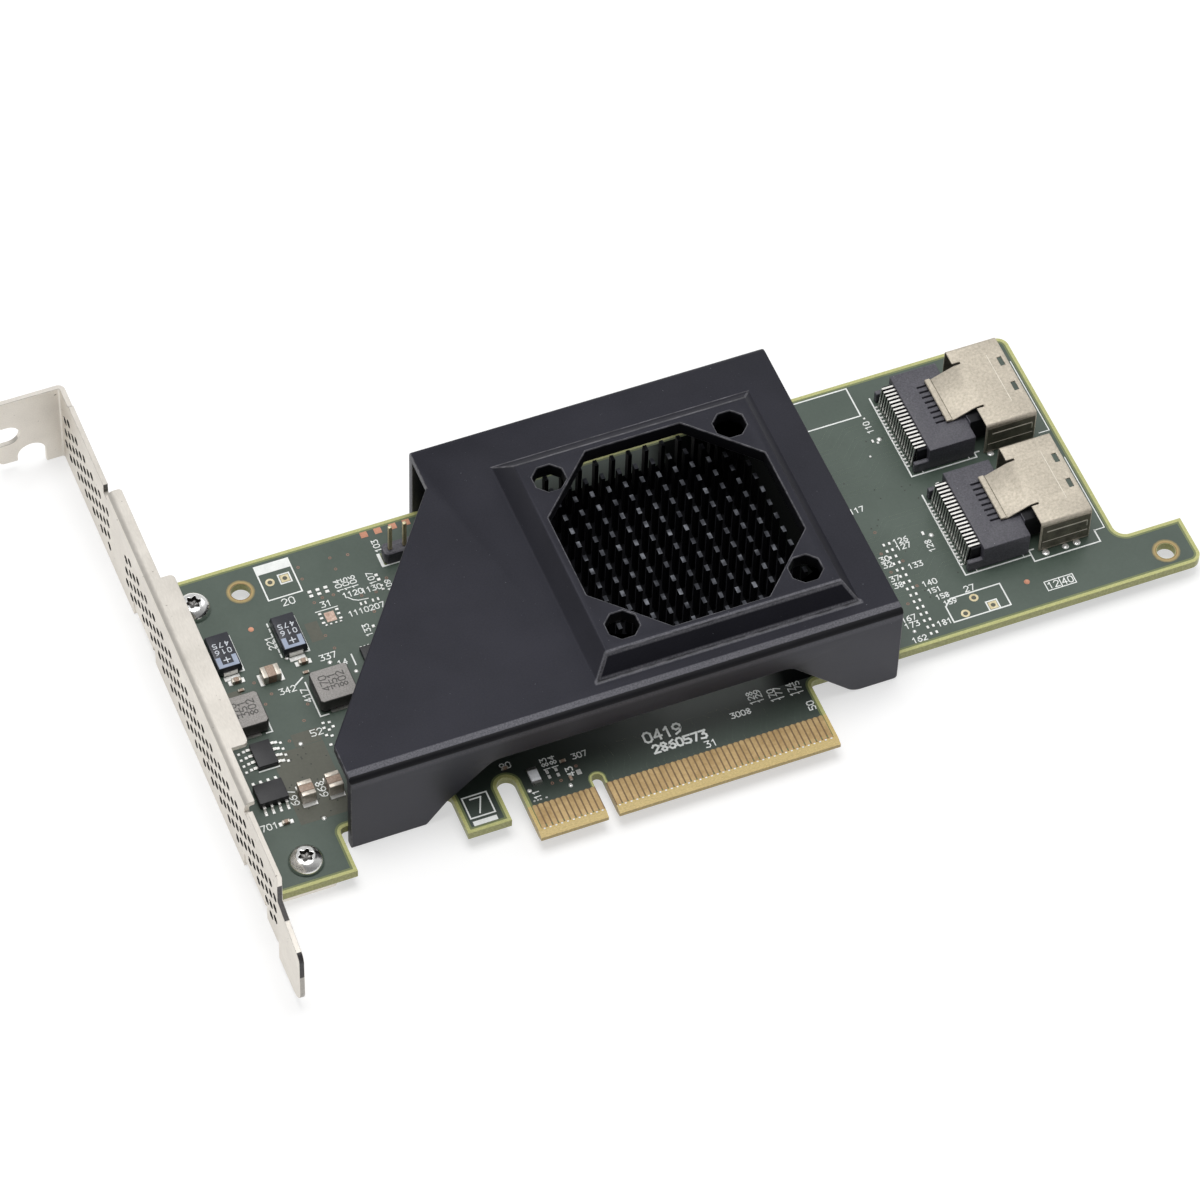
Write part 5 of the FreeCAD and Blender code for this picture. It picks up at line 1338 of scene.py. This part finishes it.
def rounded_pads(node):
    """Contact pads of one face: straight sides that end in a half circle towards the board."""
    low, high = edges_of(node)
    angle = np.linspace(0, math.pi, PAD_ARC_POINTS)
    arc = np.stack([PAD_HALF * np.cos(angle), high[1] - PAD_HALF + PAD_HALF * np.sin(angle)], axis=1)
    line = np.concatenate([[(PAD_HALF, low[1])], arc, [(-PAD_HALF, low[1])]])
    flat = line + np.stack([PAD_MIDDLES, 0 * PAD_MIDDLES], axis=1)[:, None]
    points = np.stack([np.insert(flat, 2, level, axis=2) for level in (low[2], high[2])], axis=1)
    faces = repeated(capped_faces(2, len(line)), len(PAD_MIDDLES), 2 * len(line))
    piece = new_piece(node + "_rounded", points, faces, "gold_plate")
    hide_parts(node)


def plating_stubs():
    """Bright ends of the plating stubs, below the pads of the upper face."""
    stubs = [(x, PAD_START - STUB_GAP, TOP, *STUB_SIZE) for x in PAD_MIDDLES]
    bevelled_boxes("plating_stubs", stubs, STUB_BEVEL, "solder")


def solder_pads():
    """Low bevelled pads of solder, for small parts that are fitted or left out."""
    pads = [(x, y, TOP, *size, SOLDER_HEIGHT) for xs, ys, *size in PAD_ROWS for x in xs for y in ys]
    pads += [(*place, TOP, *LOOSE_PAD, SOLDER_HEIGHT) for place in LOOSE_PADS]
    bevelled_boxes("solder_pads", pads, SOLDER_BEVEL, "solder")


def board_spots(name, places, profile, sides, finish, closed=False):
    """Turned shapes on the board's top, at (x, y, radius)."""
    raised = [(radius, TOP + height) for radius, height in profile]
    turned_shapes(name, places, raised, sides, finish, closed)


def round_spots():
    """Test places and joints: low domes of solder, rings round vias and discs of copper with a raised rim."""
    board_spots("solder_domes", SOLDER_DOMES, DOME, SPOT_SIDES, "solder")
    board_spots("cage_joints", CAGE_JOINTS, DOME, SPOT_SIDES, "solder")
    rings = [(*place, VIA_RADIUS) for place in VIAS]
    board_spots("via_rings", rings, VIA_PROFILE, SPOT_SIDES, "via_ring", True)
    board_spots("copper_spots", COPPER_SPOTS, COPPER_PROFILE, SPOT_SIDES, "bare_copper")


def plated_places():
    """Plated rings and square pads of the places for headers and a chip, and squares at the rear edge."""
    rings = [(*pin, 1) for pin in ROUND_PINS]
    board_spots("plated_rings", rings, PIN_RING, RING_SIDES, "pale_plate", True)
    squares = [(*pin, TOP, SQUARE_SIDE, SQUARE_SIDE, COPPER) for pin in SQUARE_PINS]
    bevelled_boxes("square_pads", squares, COPPER_BEVEL, "pale_plate")
    plugs = [(*pin, 1) for pin in ROUND_PINS + SQUARE_PINS]
    board_spots("plugged_holes", plugs, PIN_PLUG, PLUG_SIDES, "mask_over_pour")
    bevelled_boxes("bare_centre_pad", [CENTRE_PAD], COPPER_BEVEL, "bare_pad")
    squares = [(x, EDGE_SQUARE_Y, TOP, *EDGE_SQUARE) for x in EDGE_SQUARE_XS]
    bevelled_boxes("edge_squares", squares, COPPER_BEVEL, "bare_copper")


def filled_vias():
    """Small filled holes, scattered over the pour and beside the traces."""
    chance = np.random.default_rng(SEED)
    spots = np.concatenate([chance.uniform(low, high, (count, 2)) for low, high, count in VIA_FIELDS])
    places = np.insert(spots, 2, FILLED_RADIUS, axis=1)
    board_spots("filled_vias", places, FILLED_PROFILE, FILLED_SIDES, "via_shadow")


rounded_pads("edge_contacts_bottom")
rounded_pads("edge_contacts_top")
plating_stubs()
solder_pads()
round_spots()
plated_places()
filled_vias()


# Small parts and markings that are too fine for the frame

# Fine parts: x, y and the axis of their length; sizes of the body and an end, and the step to an end
FINE_PARTS = ((-36.6, 44.0, 0), (-47.7, 44.3, 0), (-4.0, 12.6, 0), (-13.2, 14.6, 0), (-4.0, 9.0, 1))
FINE_BODY, FINE_END, FINE_STEP = (0.6, 0.5), (0.24, 0.52), (0.42, 0)
FINE_BODY_HEIGHT, FINE_END_HEIGHT = 0.34, 0.36
FINE_BODY_BEVEL, FINE_END_BEVEL = 0.03, 0.06
# Marks on a tantalum capacitor: place from its front end, sizes and bevels of band and field, and the plus
BAND_PLACE, BAND_SINK, BAND_SIZE, BAND_BEVEL = 1.35, 0.01, (3.5, 2.2, 0.03), 0.008
FIELD_STEP, FIELD_SIZE, FIELD_BEVEL = 0.3, (1.9, 1.6, 0.03), 0.009
PLUS_REACH, PLUS_LINE = 0.5, 0.2
# Printed numbers: rows with their steps from the middle, spacing, height and line width
TANTALUM_ROWS, TANTALUM_STEP, TANTALUM_DIGIT, TANTALUM_STROKE = ((2.1, "016"), (3.5, "475")), 1.05, 0.8, 0.15
INDUCTOR_ROWS, INDUCTOR_SHIFT = ((-1.5, "470"), (0, "351"), (1.5, "802")), 0.3
INDUCTOR_DIGIT, INDUCTOR_STROKE = 1.1, 0.19
MARK_INK, PLUS_INK = 0.012, 0.01


def fine_parts():
    """Tiny resistors and capacitors: a body with two metal ends."""
    bodies, ends = [], []
    for x, y, axis in FINE_PARTS:
        body, end, step = (size[::-1] if axis else size for size in (FINE_BODY, FINE_END, FINE_STEP))
        bodies.append((x, y, TOP, *body, FINE_BODY_HEIGHT))
        ends += [(x + sign * step[0], y + sign * step[1], TOP, *end, FINE_END_HEIGHT) for sign in (-1, 1)]
    bevelled_boxes("small_part_bodies", bodies, FINE_BODY_BEVEL, "fired_ceramic")
    bevelled_boxes("small_part_ends", ends, FINE_END_BEVEL, "capacitor_end")


def tantalum_marks(side):
    """Pale polarity band with a dark field and a plus, and plain numbers, on a capacitor."""
    low, high = edges_of("tantalum_capacitor_" + side)
    x, level = (low[0] + high[0]) / 2, high[2]
    band = low[1] + BAND_PLACE
    field = band + FIELD_STEP
    bevelled_boxes("tantalum_band_" + side, [(x, band, level - BAND_SINK, *BAND_SIZE)], BAND_BEVEL,
                   "tantalum_band")
    bevelled_boxes("tantalum_field_" + side, [(x, field, level, *FIELD_SIZE)], FIELD_BEVEL,
                   "tantalum_epoxy")
    plus = [(x - PLUS_REACH, field, x + PLUS_REACH, field, PLUS_LINE),
            (x, field - PLUS_REACH, x, field + PLUS_REACH, PLUS_LINE)]
    flat_bars("tantalum_plus_" + side, plus, "pale_marking", level + FIELD_SIZE[2], PLUS_INK)
    bars = []
    for row, digits in TANTALUM_ROWS:
        for step, digit in zip((TANTALUM_STEP, 0, -TANTALUM_STEP), digits):
            bars += number_bars(digit, x + step, band + row, TANTALUM_DIGIT, turn=2, width=TANTALUM_STROKE)
    flat_bars("tantalum_number_" + side, bars, "pale_marking", level, MARK_INK)


def inductor_marks(side):
    """Plain numbers printed dark on the top of an inductor, read along the card's depth."""
    low, high = edges_of("inductor_" + side)
    x, y = (low[:2] + high[:2]) / 2
    bars = []
    for step, text in INDUCTOR_ROWS:
        bars += number_bars(text, x + step, y + INDUCTOR_SHIFT, INDUCTOR_DIGIT, turn=1, width=INDUCTOR_STROKE)
    flat_bars("inductor_number_" + side, bars, "dark_marking", high[2], MARK_INK)


fine_parts()
for side in ("left", "right"):
    tantalum_marks(side)
for side in ("left", "right"):
    inductor_marks(side)


# Bracket screws

# Head from the floor of the recess out over the dome: radius, depth under the top, share of the lobes
SCREW_DOME = ((0.12, 1.0, 0), (0.62, 0.95, 0.6), (0.98, 0.9, 1), (1.04, 0.12, 1), (1.12, 0.02, 1),
              (1.3, 0, 0.7), (1.75, 0.13, 0.1), (2.2, 0.38, 0), (2.55, 0.72, 0), (2.76, 1.06, 0))
RECESS_STRIPS = 4
HEAD_GAP, HEAD_BEVEL, RIM_DEPTH, SHANK_BEVEL, SHANK_TIP = 0.02, (0.14, 0.1), 1.4, 0.25, 0.2


def lobed_screw(side):
    """Domed screw with a six-lobed recess, turned round its axis.

    Rings run from the recess floor out over the dome, under the head and down the shank; the
    rings of the recess swell and shrink with six waves round the axis.
    """
    low, high = edges_of("bracket_screw_" + side)
    head, top, end = (high[0] - low[0]) / 2, high[2], low[2]
    rings = [(radius, top - depth, wave) for radius, depth, wave in SCREW_DOME]
    rings += [(head - HEAD_GAP, top - RIM_DEPTH, 0), (head - HEAD_GAP, TOP + HEAD_BEVEL[1], 0),
              (head - HEAD_BEVEL[0], TOP, 0), (SHANK, TOP, 0), (SHANK, end + SHANK_TIP, 0),
              (SHANK - SHANK_BEVEL, end, 0)]
    radius, height, wave = np.array(rings).T
    angle = np.arange(SCREW_SIDES) * 2 * math.pi / SCREW_SIDES
    reach = radius[:, None] + wave[:, None] * LOBE_DEPTH * np.cos(LOBES * angle)
    points = (SCREW_X, SCREW_YS[side], 0) + rings_about_z(reach, height)
    faces = [np.asarray(group)[:, ::-1] for group in capped_faces(len(rings), SCREW_SIDES)]
    piece = new_piece("lobed_screw_" + side, points, faces, ["screw_plate", "recess_shadow"],
                      smooth=True)
    number = np.arange(len(piece.data.polygons))
    recess_floor = number == len(faces[0])
    refinish(piece, (number < RECESS_STRIPS * SCREW_SIDES) | recess_floor, "recess_shadow")
    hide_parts("bracket_screw_" + side)


for side in SCREW_YS:
    lobed_screw(side)


# Drive ports

HOUSING_ROUND, CAGE_ROUND, PORT_BEVEL = 0.14, 0.1, 0.05
# Dark ribs between the leads, which stand in for the shade there, and feet of the leads: place and sizes
# along X, Y and Z
LEAD_SHADE_X, LEAD_SHADE_SIZE = 74.8, (1.8, 0.46, 4.3)
FOOT_LIFT, FOOT_SIZE = 0.02, (0.6, 0.34, 0.28)
# Boxes on a cage's sides: x, distance outside the side, height over the board, length, thickness, height
# Side plates: dark sheets of painted shade
CAGE_SHADE_PLATES = ((90.5, 0.03, 0.5, 8.7, 0.12, 5.8),)
# Rims: raised lines in a painted highlight
CAGE_RIMS = ((90.6, 0.08, 4.75, 7.4, 0.2, 0.24), (90.4, 0.08, 2.3, 8.2, 0.16, 0.12),
             (94.3, 0.08, 3.4, 0.2, 0.16, 1.3))
# Rib on a cage's roof in a painted highlight, and lip and groove at the end of its spring leaf, the groove a
# dark bar of painted shade
ROOF_RIB_X, ROOF_RIB_STEP, ROOF_RIB_SINK = 92.0, 0.4, 0.02
ROOF_RIB_SIZE, ROOF_RIB_BEVEL = (0.16, 10.6, 0.06), 0.03
LIP_X, LIP_LEVEL, LIP_SIZE, LIP_BEVEL = 81.1, TOP + 5.36, (0.9, 9.5, 0.3), 0.06
GROOVE_X, GROOVE_LEVEL, GROOVE_WIDTH, GROOVE_HEIGHT = 81.75, TOP + 5.38, 0.11, 0.06


def comb_punches(middle):
    """Row of narrow slots in the housing's top, before the spring leaf."""
    ys = middle + LEAF_MIDDLE + (np.arange(COMB_COUNT) - (COMB_COUNT - 1) / 2) * COMB_PITCH
    places = np.stack([np.full(COMB_COUNT, COMB_X), ys, np.full(COMB_COUNT, TOP + COMB_FLOOR)], axis=1)
    points = places[:, None] + BAR_SIGNS * (COMB_HALF_LENGTH, COMB_HALF_WIDTH, COMB_HEIGHT)
    return punch_object(points, repeated(BAR_FACES, COMB_COUNT, len(BAR_SIGNS)))


def cage_sides(middle, rows):
    """Boxes on both sides of a cage."""
    return [(x, middle + sign * (CAGE_HALF + outside), TOP + level, *size)
            for sign in (-1, 1) for x, outside, level, *size in rows]


def port_parts(side):
    """Rounded housing with its comb and a nose in painted shade, cage with side plates of painted shade, rims
    and a rib in a painted highlight, leaf lip and groove, the groove in painted shade, and leads' feet with
    dark ribs of painted shade between them.
    """
    middle = PORT_YS[side]
    leads, leaf = lead_ys(middle), middle + LEAF_MIDDLE
    housing = rounded_node("port_housing_" + side, HOUSING_ROUND, ["port_plastic", "port_shadow"],
                           "port_plastic", punches=comb_punches(middle))
    _, (x, _, _) = face_rows(housing)
    # Painted shade: the housing's nose inside the cage turns dark
    refinish(housing, x > HOUSING_RIGHT, "port_shadow")
    gaps = np.append(leads - LEAD_PITCH / 2, leads[-1] + LEAD_PITCH / 2)
    # Dark ribs between the leads: painted shade under them
    ribs = [(LEAD_SHADE_X, y, TOP, *LEAD_SHADE_SIZE) for y in gaps]
    bevelled_boxes("lead_shade_ribs_" + side, ribs, PORT_BEVEL, "port_shadow")
    rounded_node("port_cage_" + side, CAGE_ROUND, "cage_nickel", "cage")
    plates, rims = cage_sides(middle, CAGE_SHADE_PLATES), cage_sides(middle, CAGE_RIMS)
    bevelled_boxes("cage_side_shade_" + side, plates, PORT_BEVEL, "cage_shadow")
    # The rims and the roof's rib take a painted highlight
    bevelled_boxes("cage_side_rims_" + side, rims, PORT_BEVEL, "cage_bright")
    roof = edges_of("port_cage_" + side)[1][2]
    rib = (ROOF_RIB_X, leaf - ROOF_RIB_STEP, roof - ROOF_RIB_SINK, *ROOF_RIB_SIZE)
    bevelled_boxes("cage_rib_" + side, [rib], ROOF_RIB_BEVEL, "cage_bright")
    lip = (LIP_X, leaf, LIP_LEVEL, *LIP_SIZE)
    bevelled_boxes("leaf_lip_" + side, [lip], LIP_BEVEL, "cage_nickel")
    # The leaf's groove is drawn as a dark bar of painted shade
    groove = (GROOVE_X, leaf - LEAF_HALF, GROOVE_X, leaf + LEAF_HALF, GROOVE_WIDTH)
    flat_bars("leaf_groove_shade_" + side, [groove], "cage_shadow", GROOVE_LEVEL, GROOVE_HEIGHT)
    feet = [(LEAD_TOE + TOE_STEP, y, TOP + FOOT_LIFT, *FOOT_SIZE) for y in leads]
    bevelled_boxes("lead_feet_" + side, feet, PORT_BEVEL, "bright_tin")


for side in PORT_YS:
    port_parts(side)


# Camera, floor and light: camera and lamps in metres, the floor in millimetres

SENSOR_WIDTH, FOCAL_LENGTH = 36, 174.74
CAMERA_RIGHT = (0.92810, -0.37158, 0.02382)
CAMERA_UP = (0.283241, 0.746084, 0.602619)
CAMERA_BACK = (-0.24169, -0.55254, 0.79768)
CAMERA_PLACE = (-0.21845, -0.49019, 0.76658 + TOP * MM)
FLOOR_HALF, FLOOR_CELLS = 3000, 12
FLOOR_GREY, FLOOR_GLOW = (0.5, 0.5, 0.5, 1), 0.54
SKY_ENDS, SKY_LEVELS, SKY_TURN = (-0.65, 0.6), (0.27, 0.75), 0.45
LAMP_AIM = Vector((0.02, 0.04, 0))
# Lamps: name, place, size and power
LAMPS = (("overhead", (-0.05, 0.2, 1.45), 0.8, 13.0), ("right", (1.0, 0.85, 1.1), 0.8, 2.5))


def photo_camera():
    """Camera at the photograph's place, angle and focal length."""
    data = bpy.data.cameras.new("camera")
    data.sensor_width = SENSOR_WIDTH
    data.lens = FOCAL_LENGTH
    camera = add_object("camera", data)
    columns = np.array([CAMERA_RIGHT, CAMERA_UP, CAMERA_BACK, CAMERA_PLACE]).T
    camera.matrix_world = Matrix([*columns.tolist(), (0, 0, 0, 1)])
    bpy.context.scene.camera = camera


def white_floor():
    """White floor, a flat grid: part of its light is its own, so the shadow on it stays faint."""
    material = bpy.data.materials.new("floor_white")
    material.use_nodes = True
    tree = material.node_tree
    tree.nodes.clear()
    path = tree.nodes.new("ShaderNodeLightPath")
    seen, mirrored, through = (Field(path.outputs[f"Is {kind} Ray"])
                               for kind in ("Camera", "Glossy", "Transmission"))
    glow = maths("MAXIMUM", seen, maths("MAXIMUM", mirrored, through)) * FLOOR_GLOW
    matte = add_node(tree, "ShaderNodeBsdfDiffuse", Color=FLOOR_GREY)
    own = add_node(tree, "ShaderNodeEmission", Strength=glow)
    total = tree.nodes.new("ShaderNodeAddShader")
    put(total.inputs[0], Field(matte.outputs[0]))
    put(total.inputs[1], Field(own.outputs[0]))
    add_node(tree, "ShaderNodeOutputMaterial", Surface=Field(total.outputs[0]))
    grid = np.linspace(-FLOOR_HALF, FLOOR_HALF, FLOOR_CELLS + 1)
    x, y = np.meshgrid(grid, grid)
    across = len(grid)
    cells = np.arange(FLOOR_CELLS)[:, None] * across + np.arange(FLOOR_CELLS)
    quads = np.stack([cells, cells + 1, cells + across + 1, cells + across], axis=2).reshape(-1, 4)
    mesh = array_mesh("floor", np.stack([x, y, np.full_like(x, FLOOR)], axis=2), [quads])
    mesh.materials.append(material)
    add_object("floor", mesh)


def soft_light():
    """Surroundings that darken towards the viewer and the bracket, and two large soft lamps."""
    world = bpy.data.worlds.new("surroundings")
    bpy.context.scene.world = world
    world.use_nodes = True
    tree = world.node_tree
    x, y, _ = split_axes(Field(tree.nodes.new("ShaderNodeTexCoord").outputs["Generated"]))
    level = add_node(tree, "ShaderNodeMapRange", Value=y + x * SKY_TURN, From_Min=SKY_ENDS[0],
                     From_Max=SKY_ENDS[1], To_Min=SKY_LEVELS[0], To_Max=SKY_LEVELS[1])
    fill(tree.nodes["Background"], Color=(1, 1, 1, 1), Strength=Field(level.outputs["Result"]))
    for name, place, size, power in LAMPS:
        data = bpy.data.lights.new(name, "AREA")
        data.size = size
        data.energy = power
        lamp = add_object(name, data)
        lamp.location = place
        lamp.rotation_euler = (LAMP_AIM - lamp.location).to_track_quat("-Z", "Y").to_euler()


photo_camera()
white_floor()
soft_light()
bpy.context.scene.view_settings.view_transform = "Standard"
